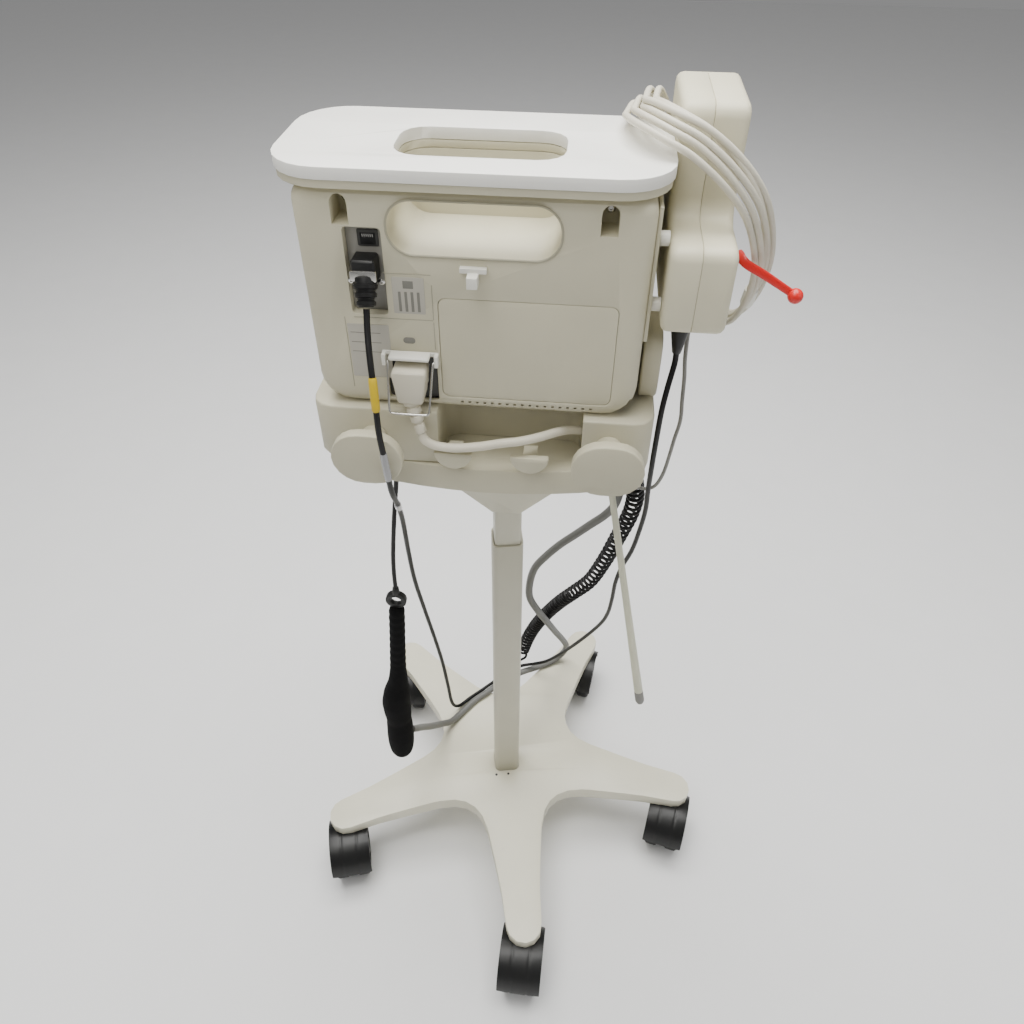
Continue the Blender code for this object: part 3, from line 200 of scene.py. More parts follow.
def frames_along(points, closed=False):
    """Two unit normals at each point that turn as little as possible along the line."""
    if closed:
        tangent = unit(np.roll(points, -1, 0) - np.roll(points, 1, 0))
    else:
        tangent = unit(np.gradient(points, axis=0))
    first = np.cross(tangent[0], [0.31, 0.17, 0.93])
    normal = np.empty_like(points)
    normal[0] = unit(first)
    for k in range(1, len(points)):
        across = normal[k - 1] - tangent[k] * (normal[k - 1] @ tangent[k])
        normal[k] = across / np.linalg.norm(across)
    return normal, np.cross(tangent, normal)


def grid_piece(name, grid, closed_v=True, cap_start=True, cap_end=True, ring=False):
    """A skin over a grid of points, rows along the piece and columns round it.

    Each face joins (i, j), (i+1, j), (i+1, j+1), (i, j+1); an end row is closed by one face,
    or in a ring the last row joins the first.
    """
    rows, columns = grid.shape[:2]
    index = np.arange(rows * columns).reshape(rows, columns)
    if ring:
        index = np.vstack([index, index[:1]])
        cap_start = cap_end = False
    if closed_v:
        following = np.roll(index, -1, axis=1)
        faces = np.stack([index[:-1], following[:-1], following[1:], index[1:]], axis=-1)
    else:
        faces = np.stack([index[:-1, :-1], index[:-1, 1:], index[1:, 1:], index[1:, :-1]], axis=-1)
    faces = faces.reshape(-1, 4).tolist()
    if cap_start:
        faces.append(index[0][::-1].tolist())
    if cap_end:
        faces.append(index[-1].tolist())
    mesh = bpy.data.meshes.new(name)
    mesh.from_pydata(grid.reshape(-1, 3).tolist(), [], faces)
    mesh.update()
    piece = bpy.data.objects.new(name, mesh)
    bpy.context.scene.collection.objects.link(piece)
    smooth_shade(piece)
    return piece


def smooth_shade(piece, angle=35):
    """Smooth faces, with edges sharper than the angle kept crisp."""
    for polygon in piece.data.polygons:
        polygon.use_smooth = True
    piece.data.set_sharp_from_angle(angle=math.radians(angle))


def tube(name, path, radius, sides=12, closed=False):
    """A round tube: at each point, centre + radius (cos a * normal + sin a * binormal)."""
    path = np.asarray(path, float)
    normal, binormal = frames_along(path, closed)
    angle = np.linspace(0, 2 * math.pi, sides, endpoint=False)
    radius = np.broadcast_to(np.asarray(radius, float), (len(path),))[:, None, None]
    ring = (np.cos(angle)[None, :, None] * normal[:, None, :]
            + np.sin(angle)[None, :, None] * binormal[:, None, :])
    return grid_piece(name, path[:, None, :] + radius * ring, ring=closed)


def turned(name, start, end, profile, sides=28):
    """A turned solid: profile (distance along, radius) swept round the line from start to end."""
    start, end = np.asarray(start, float), np.asarray(end, float)
    axis = unit(end - start)
    side = unit(np.cross(axis, [0.2, 0.93, 0.31]))
    up = np.cross(axis, side)
    along, radius = np.asarray(profile, float).T
    angle = np.linspace(0, 2 * math.pi, sides, endpoint=False)
    ring = np.cos(angle)[:, None] * side + np.sin(angle)[:, None] * up
    grid = start + along[:, None, None] * axis + radius[:, None, None] * ring[None]
    return grid_piece(name, grid)


def slab(name, centre, half_u, half_v, thick, u, v, radius, edge=0.0004, steps=6):
    """A rounded-corner plate: outline rows rise from the back to a softened front face.

    Each corner is an arc of the radius; rows are the outline drawn in by the edge near the face.
    """
    u, v = np.asarray(u, float), np.asarray(v, float)
    n = np.cross(u, v)
    quarter = np.linspace(0, math.pi / 2, steps + 1)

    def outline(inset):
        r = max(radius - inset, 0.00005)
        cu, cv = half_u - inset - r, half_v - inset - r
        parts = []
        for k, (su, sv) in enumerate(((1, 1), (-1, 1), (-1, -1), (1, -1))):
            a = quarter + k * math.pi / 2
            parts.append(np.stack([su * cu + r * np.cos(a), sv * cv + r * np.sin(a)], axis=1))
        return np.vstack(parts)

    rows = ((0, 0), (0, thick - edge), (edge * 0.3, thick - edge * 0.3), (edge, thick))
    grid = []
    for inset, height in rows:
        flat = outline(inset)
        grid.append(np.asarray(centre) + flat[:, :1] * u + flat[:, 1:] * v + height * n)
    return grid_piece(name, np.array(grid))


def from_pole(points):
    """Places given from the pole's axis, in the frame."""
    return np.asarray(points, float) + POLE


def finish_piece(piece, material, body="stand"):
    """Give a piece its material and the body it rides on."""
    piece.data.materials.clear()
    piece.data.materials.append(material)
    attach(piece, body)
    return piece


# ---- Materials ------------------------------------------------------------------------------
def node_of(tree, kind, **values):
    """A new shader node with its plain properties set."""
    node = tree.nodes.new(kind)
    for name, value in values.items():
        setattr(node, name, value)
    return node


def shade(colour, factor):
    """A colour made lighter or darker."""
    return tuple(min(1.0, part * factor) for part in colour[:3]) + (1.0,)


def finish(name, colour, roughness, grain=900.0, bump=0.10, mottle=0.06, gloss=0.5, metallic=0.0,
           coat=0.0, tint=None, grime=0.0):
    """A moulded, painted or metal finish: fine grain bump, soft colour drift and rough patches."""
    material = bpy.data.materials.new(name)
    material.use_nodes = True
    tree = material.node_tree
    shader = tree.nodes["Principled BSDF"]
    shader.inputs["Metallic"].default_value = metallic
    shader.inputs["Specular IOR Level"].default_value = gloss
    shader.inputs["Coat Weight"].default_value = coat
    shader.inputs["Coat Roughness"].default_value = 0.25
    where = node_of(tree, "ShaderNodeTexCoord")
    broad = node_of(tree, "ShaderNodeTexNoise")
    broad.inputs["Scale"].default_value = 14
    broad.inputs["Detail"].default_value = 5
    tree.links.new(where.outputs["Object"], broad.inputs["Vector"])
    ramp = node_of(tree, "ShaderNodeValToRGB")
    ramp.color_ramp.elements[0].position = 0.32
    ramp.color_ramp.elements[1].position = 0.70
    ramp.color_ramp.elements[0].color = shade(tint or colour, 1 - mottle)
    ramp.color_ramp.elements[1].color = shade(colour, 1 + mottle * 0.6)
    tree.links.new(broad.outputs["Fac"], ramp.inputs["Fac"])
    paint = ramp.outputs["Color"]
    if grime:
        paint = add_grime(tree, where, paint, colour, grime)
    tree.links.new(paint, shader.inputs["Base Color"])
    patches = node_of(tree, "ShaderNodeMapRange")
    patches.inputs["To Min"].default_value = max(0.03, roughness - 0.07)
    patches.inputs["To Max"].default_value = min(1.0, roughness + 0.09)
    tree.links.new(broad.outputs["Fac"], patches.inputs["Value"])
    tree.links.new(patches.outputs["Result"], shader.inputs["Roughness"])
    fine = node_of(tree, "ShaderNodeTexNoise")
    fine.inputs["Scale"].default_value = grain
    fine.inputs["Detail"].default_value = 3
    tree.links.new(where.outputs["Object"], fine.inputs["Vector"])
    relief = node_of(tree, "ShaderNodeBump")
    relief.inputs["Strength"].default_value = bump
    relief.inputs["Distance"].default_value = 0.0004
    tree.links.new(fine.outputs["Fac"], relief.inputs["Height"])
    tree.links.new(relief.outputs["Normal"], shader.inputs["Normal"])
    return material


def add_grime(tree, where, paint, colour, amount):
    """Faint scuffs: thin stretched noise darkens the colour where it peaks."""
    scuff = node_of(tree, "ShaderNodeTexNoise")
    scuff.inputs["Scale"].default_value = 55
    scuff.inputs["Detail"].default_value = 8
    scuff.inputs["Roughness"].default_value = 0.7
    turn = node_of(tree, "ShaderNodeMapping")
    turn.inputs["Scale"].default_value = (1.0, 1.0, 0.25)
    tree.links.new(where.outputs["Object"], turn.inputs["Vector"])
    tree.links.new(turn.outputs["Vector"], scuff.inputs["Vector"])
    peak = node_of(tree, "ShaderNodeMapRange")
    peak.inputs["From Min"].default_value = 0.60
    peak.inputs["From Max"].default_value = 0.78
    peak.inputs["To Max"].default_value = amount
    tree.links.new(scuff.outputs["Fac"], peak.inputs["Value"])
    mix = node_of(tree, "ShaderNodeMix", data_type="RGBA")
    mix.inputs["B"].default_value = shade(colour, 0.55)
    tree.links.new(peak.outputs["Result"], mix.inputs["Factor"])
    tree.links.new(paint, mix.inputs["A"])
    return mix.outputs["Result"]


def cloth_finish(name, colour, scale=420.0):
    """Woven cover: two crossed bands of waves lift and darken the surface."""
    material = finish(name, colour, 0.85, grain=scale, bump=0.25, mottle=0.12, gloss=0.12)
    tree = material.node_tree
    shader = tree.nodes["Principled BSDF"]
    where = node_of(tree, "ShaderNodeTexCoord")
    weave = node_of(tree, "ShaderNodeTexVoronoi")
    weave.inputs["Scale"].default_value = scale
    tree.links.new(where.outputs["Object"], weave.inputs["Vector"])
    lift = node_of(tree, "ShaderNodeBump")
    lift.inputs["Strength"].default_value = 0.4
    lift.inputs["Distance"].default_value = 0.0006
    tree.links.new(weave.outputs["Distance"], lift.inputs["Height"])
    tree.links.new(lift.outputs["Normal"], shader.inputs["Normal"])
    return material


FINISHES = {}


def make_finishes():
    """Every finish, by name."""
    tones = bpy.context.scene.stand_finishes
    body, cap, stand = tuple(tones.body), tuple(tones.cap), tuple(tones.stand)
    FINISHES.update({
        "cap": finish("cap_plastic", cap, 0.42, 1400, 0.05, 0.03, coat=0.05),
        "body": finish("housing_plastic", body, 0.50, 1600, 0.12, 0.05, grime=0.10),
        # deck: the housing plastic at 0.90, a painted shade for the tray that sits under the monitor
        "deck": finish("deck_plastic_shaded", shade(body, 0.90)[:3], 0.52, 1300, 0.12, 0.06, grime=0.12),
        # dock: the housing plastic at 1.10, painted light on the dock high up under the overhead light
        "dock": finish("dock_plastic_lit", shade(body, 1.10)[:3], 0.50, 1500, 0.10, 0.04, grime=0.06),
        "stand": finish("stand_paint", stand, 0.40, 650, 0.14, 0.05, coat=0.10, grime=0.16),
        # pole: the stand paint at 0.78, painted shade on the upright pole and on the neck under the tray
        "pole": finish("pole_paint_shaded", shade(stand, 0.78)[:3], 0.40, 650, 0.14, 0.05, coat=0.1, grime=0.12),
        "cream": finish("cream_rubber", (0.66, 0.62, 0.50), 0.48, 700, 0.08, 0.05),
        "white": finish("white_plastic", (0.80, 0.79, 0.72), 0.42, 900, 0.05, 0.03),
        "white_cord": finish("white_cord", (0.64, 0.605, 0.50), 0.45, 800, 0.06, 0.05),
        "black": finish("black_plastic", (0.009, 0.009, 0.009), 0.42, 900, 0.12, 0.15, 0.35),
        "black_cord": finish("black_cord", (0.007, 0.0065, 0.007), 0.46, 800, 0.10, 0.15, 0.30),
        "caster": finish("caster_plastic", (0.010, 0.010, 0.010), 0.34, 700, 0.12, 0.20, 0.35),
        "tyre": finish("tyre_rubber", (0.009, 0.009, 0.009), 0.68, 420, 0.30, 0.25, 0.25, grime=0.2),
        "dark": finish("dark_plastic", (0.050, 0.050, 0.048), 0.50, 900, 0.12, 0.12),
        "grey": finish("grey_plastic", (0.33, 0.32, 0.29), 0.50, 1100, 0.10, 0.06),
        "grey_rubber": finish("grey_rubber", (0.24, 0.235, 0.215), 0.55, 700, 0.12, 0.10),
        "hose": finish("hose_rubber", tuple(tones.hose), 0.50, 500, 0.12, 0.10, grime=0.10),
        "cuff": cloth_finish("black_cover", (0.0045, 0.0045, 0.0048)),
        "wand": finish("wand_plastic", (0.66, 0.655, 0.50), 0.38, 700, 0.05, 0.05),
        "steel": finish("plated_steel", (0.62, 0.61, 0.58), 0.24, 600, 0.05, 0.06, metallic=1.0),
        "red": finish("red_plastic", (0.66, 0.010, 0.008), 0.35, 600, 0.05, 0.06, coat=0.2),
        "yellow": finish("yellow_band", (0.60, 0.42, 0.005), 0.45, 700, 0.06, 0.08),
        "sleeve": finish("clear_sleeve", (0.30, 0.30, 0.31), 0.18, 400, 0.04, 0.10, coat=0.6),
        "label": finish("label_film", (0.45, 0.43, 0.37), 0.38, 500, 0.03, 0.05),
        # the housing plastic at 0.62: on the recess lip it is painted shade along the recess edge, on the
        # panel lines it is the seams' own grey
        "lip_shade_and_seam": finish("recess_lip", shade(body, 0.62)[:3], 0.45, 900, 0.06, 0.05),
        "print": finish("label_rule", (0.20, 0.195, 0.17), 0.5, 500, 0.03, 0.10),
        "glass": finish("screen_glass", (0.010, 0.011, 0.013), 0.08, 60, 0.01, 0.20, coat=0.8),
        "board": finish("board_green", (0.03, 0.15, 0.07), 0.45, 300, 0.20, 0.15),
        "floor": finish("floor", (0.86, 0.86, 0.86), 0.75, 300, 0.02, 0.01),
    })


# ---- Operators ------------------------------------------------------------------------------
class STAND_OT_stage(bpy.types.Operator):
    """Camera, floor and soft studio light"""
    bl_idname = "stand.stage"
    bl_label = "Stage"

    def execute(self, context):
        lens = bpy.data.cameras.new("view")
        lens.lens = 28.82
        lens.sensor_width = 36
        camera = bpy.data.objects.new("view", lens)
        camera.location = from_pole((0.0638, -0.6458, 1.1914))
        yaw, pitch, roll = math.radians(5.1857), math.radians(42.3623), math.radians(0.5018)
        forward = np.array([-math.sin(yaw) * math.cos(pitch), math.cos(yaw) * math.cos(pitch),
                            -math.sin(pitch)])
        right = unit(np.cross(forward, [0, 0, 1.0]))
        up = np.cross(right, forward)
        turned_right = math.cos(roll) * right + math.sin(roll) * up
        turned_up = math.cos(roll) * up - math.sin(roll) * right
        matrix = np.eye(4)
        matrix[:3, 0], matrix[:3, 1], matrix[:3, 2] = turned_right, turned_up, -forward
        matrix[:3, 3] = camera.location
        camera.matrix_world = Matrix(matrix.tolist())
        context.scene.collection.objects.link(camera)
        context.scene.camera = camera
        make_finishes()
        grid = np.array([[(x, y, 0.0) for x in (-6.0, 6.0)] for y in (-6.0, 6.0)])
        floor = grid_piece("floor", grid, closed_v=False, cap_start=False, cap_end=False)
        floor.data.materials.append(FINISHES["floor"])
        lights = (("overhead", (-0.10, 0.30, 2.6), 1.9, 112, (1.0, 0.995, 0.97)),
                  ("key", (-0.45, -0.85, 2.0), 0.9, 9, (1.0, 0.985, 0.94)),
                  ("fill", (1.9, -0.8, 1.5), 1.4, 7, (1.0, 1.0, 1.0)))
        for name, place, size, power, colour in lights:
            lamp = bpy.data.lights.new(name, "AREA")
            lamp.size = size
            lamp.energy = power
            lamp.color = colour
            light = bpy.data.objects.new(name, lamp)
            aim = unit(np.array([0.0, 0.0, 0.6]) - np.array(place))
            side = unit(np.cross(aim, [0, 0, 1.0]))
            matrix = np.eye(4)
            matrix[:3, 0], matrix[:3, 1], matrix[:3, 2] = side, np.cross(side, aim), -aim
            matrix[:3, 3] = place
            light.matrix_world = Matrix(matrix.tolist())
            context.scene.collection.objects.link(light)
        world = bpy.data.worlds.new("studio")
        context.scene.world = world
        world.use_nodes = True
        world.node_tree.nodes["Background"].inputs["Color"].default_value = (1, 1, 1, 1)
        world.node_tree.nodes["Background"].inputs["Strength"].default_value = 0.26
        return {"FINISHED"}


def declare_cord(name, path, diameter, material, replaced,
                 sides=12):
    """A free cord as a tube along its path, in place of its plain solid."""
    piece = tube(name, path, diameter / 2, sides)
    finish_piece(piece, material)
    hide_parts(*replaced)
    return piece


def band(name, path, low, high, radius, material, sides=14):
    """A sleeve round a cord, over the stretch between two shares of its length."""
    count = len(path)
    part = evenly(path[int(low * count):int(high * count)], 14)
    swell = np.full(14, radius)
    swell[[0, -1]] = radius - 0.0005
    return finish_piece(tube(name, part, swell, sides), material)


class STAND_OT_cords(bpy.types.Operator):
    """Every free cord, with what is on it"""
    bl_idname = "stand.cords"
    bl_label = "Cords"

    def execute(self, context):
        sizes = context.scene.stand_cords
        data = from_pole(resample(DATA_ROUTE, 520))
        on_data = [
            band("data_lead_yellow_band", data, 0.9545, 0.9720, 0.0034, FINISHES["yellow"]),
            band("data_lead_clear_sleeve", data, 0.915, 0.933, 0.0032, FINISHES["sleeve"]),
            band("data_lead_lower_sleeve", data, 0.866, 0.878, 0.0032, FINISHES["sleeve"]),
        ]
        declare_cord("data_lead_cord", data, sizes.data_width, FINISHES["black_cord"],
                     ["data_lead"])
        hose = from_pole(resample(HOSE_ROUTE, 300))
        declare_cord("air_hose_cord", hose, sizes.hose_width, FINISHES["hose"],
                     ["air_hose"], sides=18)
        self.curly(sizes)
        sensor = from_pole(resample(SENSOR_ROUTE, 120))
        declare_cord("sensor_lead_cord", sensor, 0.0036, FINISHES["grey_rubber"],
                     ["sensor_lead"])
        mains = from_pole(resample(MAINS_ROUTE, 90))
        declare_cord("mains_lead_cord", mains, 0.0076, FINISHES["cream"],
                     ["mains_lead"], sides=18)
        hand = from_pole(resample(HAND_ROUTE, 70))
        declare_cord("hand_lead_cord", hand, 0.0048, FINISHES["black_cord"],
                     ["hand_lead"])
        self.hank(sizes)
        return {"FINISHED"}

    def curly(self, sizes):
        """The curly cord: a helix round its route, with a straight tail at each end.

        Place = route + r (cos a * normal + sin a * binormal); a grows with the summed density of
        turns, which is low where the cord is pulled open and high where it rests.
        """
        wire = sizes.curl_wire
        turns = sizes.curl_turns
        count = turns * COIL_STEPS
        route = resample(CURL_ROUTE, count)
        normal, binormal = frames_along(route)
        share = np.linspace(0, 1, count)
        density = np.interp(share, (0, 0.020, 0.05, 0.14, 0.62, 0.74, 0.95, 0.98, 1),
                            (0, 0, 1.3, 0.72, 0.80, 1.45, 1.35, 0, 0))
        angle = np.cumsum(density)[:, None] * 2 * math.pi * turns / density.sum()
        reach = COIL_REACH - wire / 2
        ease = np.minimum(1, np.minimum(share, 1 - share) / 0.028)[:, None]
        ease = ease * ease * (3 - 2 * ease)
        helix = route + reach * ease * (np.cos(angle) * normal + np.sin(angle) * binormal)
        top = np.linspace((0.1240, 0.0080, 0.6800), helix[0], 6)[:-1]
        end = resample(CURL_END, 40)
        path = from_pole(np.vstack([top, helix, end[1:]]))
        declare_cord("curly_cord_wire", path, wire, FINISHES["black_cord"],
                     ["curly_cord", "curly_cord_top_tail", "curly_cord_end_tail"],
                     sides=8)

    def hank(self, sizes):
        """The white lead wound round the dock's tower, its turns side by side.

        Each turn follows the ring and is offset along two directions across it; the offsets
        drift smoothly from one turn's place in the bundle to the next one's.
        """
        turns = sizes.hank_turns
        ring = resample(HANK_ROUTE + HANK_ROUTE[:1], RING_STEPS + 1)[:-1]
        middle = ring.mean(0)
        tangent = unit(np.roll(ring, -1, 0) - np.roll(ring, 1, 0))
        outward = ring - middle
        outward = unit(outward - tangent * (outward * tangent).sum(1)[:, None])
        bell = np.hanning(73) / np.hanning(73).sum()
        outward = np.stack([np.convolve(np.pad(outward[:, axis], 36, mode="wrap"), bell, "valid")
                            for axis in range(3)], axis=1)
        outward = unit(outward - tangent * (outward * tangent).sum(1)[:, None])
        across = np.cross(tangent, outward)
        step = np.arange(int(RING_STEPS * turns))
        lap = step / RING_STEPS
        k = (step + RING_START) % RING_STEPS
        places = np.array([(-0.2, 13.5), (1.4, 7.3), (-0.8, -0.9), (1.2, -7.6), (-0.4, -13.6),
                           (-4.2, 3.0)]) * 0.001
        lap = lap - 0.12 * np.sin(2 * math.pi * lap)
        slot_u = np.interp(lap, np.arange(6), places[:, 0])
        slot_v = np.interp(lap, np.arange(6), places[:, 1])
        spread = 0.76 + 0.24 * np.cos(2 * math.pi * (k - 50) / RING_STEPS)
        wander = 0.0013 * np.sin(2 * math.pi * lap * 1.37 + 0.6)
        path = (ring[k] + outward[k] * (slot_u + wander)[:, None]
                + across[k] * (slot_v * spread + wander)[:, None])
        over_cap = (path[:, 0] < 0.1275) & (path[:, 1] < 0.0425)
        path[over_cap, 2] = np.maximum(path[over_cap, 2], CAP_REST)
        lead_in = resample(((0.1370, 0.0605, 0.9500), (0.1365, 0.0680, 0.9480),
                            (0.1340, 0.0765, 0.9440), tuple(path[2])), 16)
        path = from_pole(evenly(np.vstack([lead_in[:-1], path[2:]]), 900))
        tail = path[-1] - path[-8]
        tail = tail / np.linalg.norm(tail)
        plug = turned("patient_lead_plug", path[-1] - tail * 0.004, path[-1] + tail * 0.024,
                      ((0, 0.0030), (0.004, 0.0036), (0.010, 0.0046), (0.011, 0.0056),
                       (0.026, 0.0056), (0.028, 0.0050)), 20)
        finish_piece(plug, FINISHES["white"])
        relief = turned("patient_lead_relief", from_pole((0.1370, 0.0595, 0.9500)),
                        from_pole((0.1366, 0.0660, 0.9486)),
                        ((0, 0.0052), (0.0012, 0.0052), (0.0020, 0.0044), (0.0066, 0.0031)), 20)
        finish_piece(relief, FINISHES["white"])
        piece = tube("patient_lead_cord", path, sizes.hank_wire / 2, 12)
        finish_piece(piece, FINISHES["white_cord"])
        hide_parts("patient_lead_hank")


NODE_FINISH = {
    "top_cap": ("cap", 0.0006), "cap_rim": ("body", 0.0004), "rear_housing": ("body", 0.0007),
    "front_bezel": ("cap", 0.0006), "display_panel": ("glass", 0.0003), "power_button": ("grey", 0.0003),
    "battery_door": ("body", 0.0003), "battery_pack": ("dark", 0.0008), "main_board": ("board", 0.0002),
    "power_supply": ("steel", 0.0004), "port_insert": ("grey", 0.0003), "data_plug": ("black", 0.0005),
    "cord_peg": ("white", 0.0006), "mains_inlet": ("dark", 0.0003), "inlet_hood": ("white", 0.0003),
    "mains_plug": ("cream", 0.0005), "retainer_bail": ("steel", 0.0), "side_bracket": ("body", 0.0006),
    "standoff_1": ("white", 0.0004), "standoff_2": ("white", 0.0004), "standoff_3": ("white", 0.0004),
    # the dock shells take the dock finish: the housing plastic lightened as painted light
    "dock_inner_shell": ("dock", 0.0003), "dock_outer_shell": ("dock", 0.0003),
    # the tray parts take the deck finish: the housing plastic darkened as painted shade
    "dock_board": ("board", 0.0002), "dock_relief": ("black", 0.0004), "tray_pan": ("deck", 0.0008),
    "tray_deck": ("deck", 0.0008), "tray_cheek": ("deck", 0.0006), "cord_horn_left": ("deck", 0.0006),
    "cord_horn_right": ("deck", 0.0006), "socket_bar": ("deck", 0.0005), "hand_gland": ("black", 0.0003),
    # the pole and neck take the pole paint: the stand paint darkened as painted shade
    "pole": ("pole", 0.0006), "neck": ("pole", 0.0008), "base_casting": ("stand", 0.0012),
    "wand": ("wand", 0.0003), "wand_tip": ("grey_rubber", 0.0003), "hang_ring": ("black", 0.0006),
}


def dress_node(name, material, width):
    """Finish for a frame part: welded, its edges eased and its curved faces smooth."""
    node = frame["nodes"][name]
    node.data.materials.clear()
    node.data.materials.append(material)
    for polygon in node.data.polygons:
        polygon.use_smooth = True
    weld = node.modifiers.new("Weld", "WELD")
    weld.merge_threshold = 0.00002
    if width:
        ease = node.modifiers.new("Eased edges", "BEVEL")
        ease.width = width
        ease.segments = 2
        ease.limit_method = "ANGLE"
        ease.angle_limit = math.radians(35)
        ease.harden_normals = True


class STAND_OT_frame_finishes(bpy.types.Operator):
    """Finishes of the frame's own parts"""
    bl_idname = "stand.frame_finishes"
    bl_label = "Frame finishes"

    def execute(self, context):
        for name, (finish_name, width) in NODE_FINISH.items():
            dress_node(name, FINISHES[finish_name], width)
        for name in frame["nodes"]:
            if name.startswith("caster_hood"):
                dress_node(name, FINISHES["black"], 0.0006)
            if name.startswith("wheel_pair"):
                dress_node(name, FINISHES["tyre"], 0.0005)
        return {"FINISHED"}


class STAND_OT_fittings(bpy.types.Operator):
    """Screws, plug shell, labels, latch lines and other small fittings"""
    bl_idname = "stand.fittings"
    bl_label = "Fittings"

    def execute(self, context):
        self.screws()
        self.data_plug()
        self.bail()
        self.jack()
        self.rear_marks()
        self.recess_rim()
        self.screen_side()
        self.casters()
        return {"FINISHED"}

    def bail(self):
        """The plug's wire bail: two straight arms, a short cross wire, tight bends between them."""
        route = ((-0.0910, -0.0925, 0.8390), (-0.0880, -0.0925, 0.8390), (-0.0871, -0.0935, 0.8384),
                 (-0.0868, -0.0955, 0.8350), (-0.0860, -0.1040, 0.8190), (-0.0852, -0.1105, 0.8062),
                 (-0.0842, -0.1122, 0.8030), (-0.0815, -0.1125, 0.8022), (-0.0688, -0.1125, 0.8020),
                 (-0.0561, -0.1125, 0.8022), (-0.0534, -0.1122, 0.8030), (-0.0524, -0.1105, 0.8062),
                 (-0.0516, -0.1040, 0.8190), (-0.0508, -0.0955, 0.8350), (-0.0505, -0.0935, 0.8384),
                 (-0.0496, -0.0925, 0.8390), (-0.0466, -0.0925, 0.8390))
        wire = tube("bail_wire", from_pole(resample(route, 150)), 0.0009, 12)
        finish_piece(wire, FINISHES["steel"], "bail")
        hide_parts("retainer_bail")

    def jack(self):
        """The empty socket above the plug: a dark frame, its mouth and its contacts."""
        self.plate("jack_frame", -0.0950, 0.9355, 0.0158, 0.0128, "dark", 0.0008, 0.0012, -0.0808)
        self.plate("jack_mouth", -0.0950, 0.9350, 0.0118, 0.0090, "black", 0.0011, 0.0006, -0.0808)
        for k in range(6):
            self.plate(f"jack_contact_{k + 1}", -0.0988 + k * 0.0015, 0.9375, 0.0007, 0.0030, "steel",
                       0.0013, 0.0002, -0.0808)

    def recess_rim(self):
        """The softened lip round the hand recess, as a thin ring on the connector face; its darker grey
        is painted shade along the recess edge.
        """
        turn = np.linspace(0, 2 * math.pi, 160, endpoint=False)
        reach, half, radius = 0.126 / 2, 0.040 / 2, 0.0190
        out = np.stack([np.cos(turn), np.sin(turn)], axis=1)
        corner = np.sign(out) * np.array([reach - radius, half - radius])
        flat = np.array([-0.0160, 0.9470]) + corner + out * (radius + 0.0004)
        path = np.stack([flat[:, 0], np.full(160, REAR), flat[:, 1]], axis=1)
        path = evenly(np.vstack([path, path[:1]]), 221)[:-1]
        lip = tube("recess_lip", from_pole(path), 0.0009, 8, closed=True)
        finish_piece(lip, FINISHES["lip_shade_and_seam"])

    def screw(self, name, place, direction, radius, material="steel", body="stand"):
        """A domed screw head with a cross recess drawn by a raised rim round a sunken middle."""
        place = from_pole(place)
        direction = unit(np.asarray(direction, float))
        profile = ((-0.0012, radius * 0.55), (0.0, radius), (radius * 0.25, radius),
                   (radius * 0.42, radius * 0.86), (radius * 0.52, radius * 0.55),
                   (radius * 0.50, radius * 0.36), (radius * 0.20, radius * 0.30),
                   (radius * 0.18, radius * 0.06))
        piece = turned(name, place, place + direction, profile, 20)
        return finish_piece(piece, FINISHES[material], body)

    def screws(self):
        """Every screw that shows."""
        for k, x in enumerate((-0.1120, 0.0800), start=1):
            self.screw(f"pocket_screw_{k}", (x, REAR + 0.0235, 0.9590), (0, -1, 0), 0.0034)
        for k, x in enumerate((-0.0118, 0.0052), start=1):
            self.screw(f"pole_foot_screw_{k}", (x, -0.0235 + 0.19 * x, 0.1042), (0, 0, 1), 0.0018, "dark")
        for k, x in enumerate((-0.1085, -0.0855), start=1):
            self.screw(f"plug_jack_screw_{k}", (x, -0.0905, 0.9060), (0, -1, -0.25), 0.0026)
        for k, (y, z) in enumerate(((-0.080, 0.883), (-0.080, 0.931), (0.050, 0.883), (0.050, 1.008))):
            self.screw(f"dock_screw_{k + 1}", (0.1725, y, z), (1, 0, 0), 0.0019, "dark")

    def data_plug(self):
        """The plug's bright shell and the ribs of its boot."""
        shell = slab("data_plug_shell", from_pole((-0.0970, -0.0978, 0.9135)), 0.0098, 0.0040, 0.0018,
                     (1, 0, 0), (0, 0, 1), 0.0010)
        finish_piece(shell, FINISHES["steel"])
        top = from_pole((-0.0970, -0.0940, 0.9100))
        low = from_pole((-0.0958, -0.1040, 0.8915))
        for k in range(3):
            share = 0.20 + k * 0.29
            here = top + (low - top) * share
            radius = 0.0090 + (0.0058 - 0.0090) * share + 0.0010
            after = here + unit(low - top) * 0.0040
            rib = turned(f"data_boot_rib_{k + 1}", here, after,
                         ((0, radius - 0.0012), (0.0006, radius), (0.0034, radius - 0.0003),
                          (0.0040, radius - 0.0016)), 24)
            finish_piece(rib, FINISHES["black"])

    def plate(self, name, x, z, width, height, material, thick=0.00035, radius=0.0008, y=REAR):
        """A thin plate on the connector face."""
        piece = slab(name, from_pole((x, y, z)), width / 2, height / 2, thick, (1, 0, 0), (0, 0, 1),
                     radius, edge=thick * 0.4)
        return finish_piece(piece, FINISHES[material])

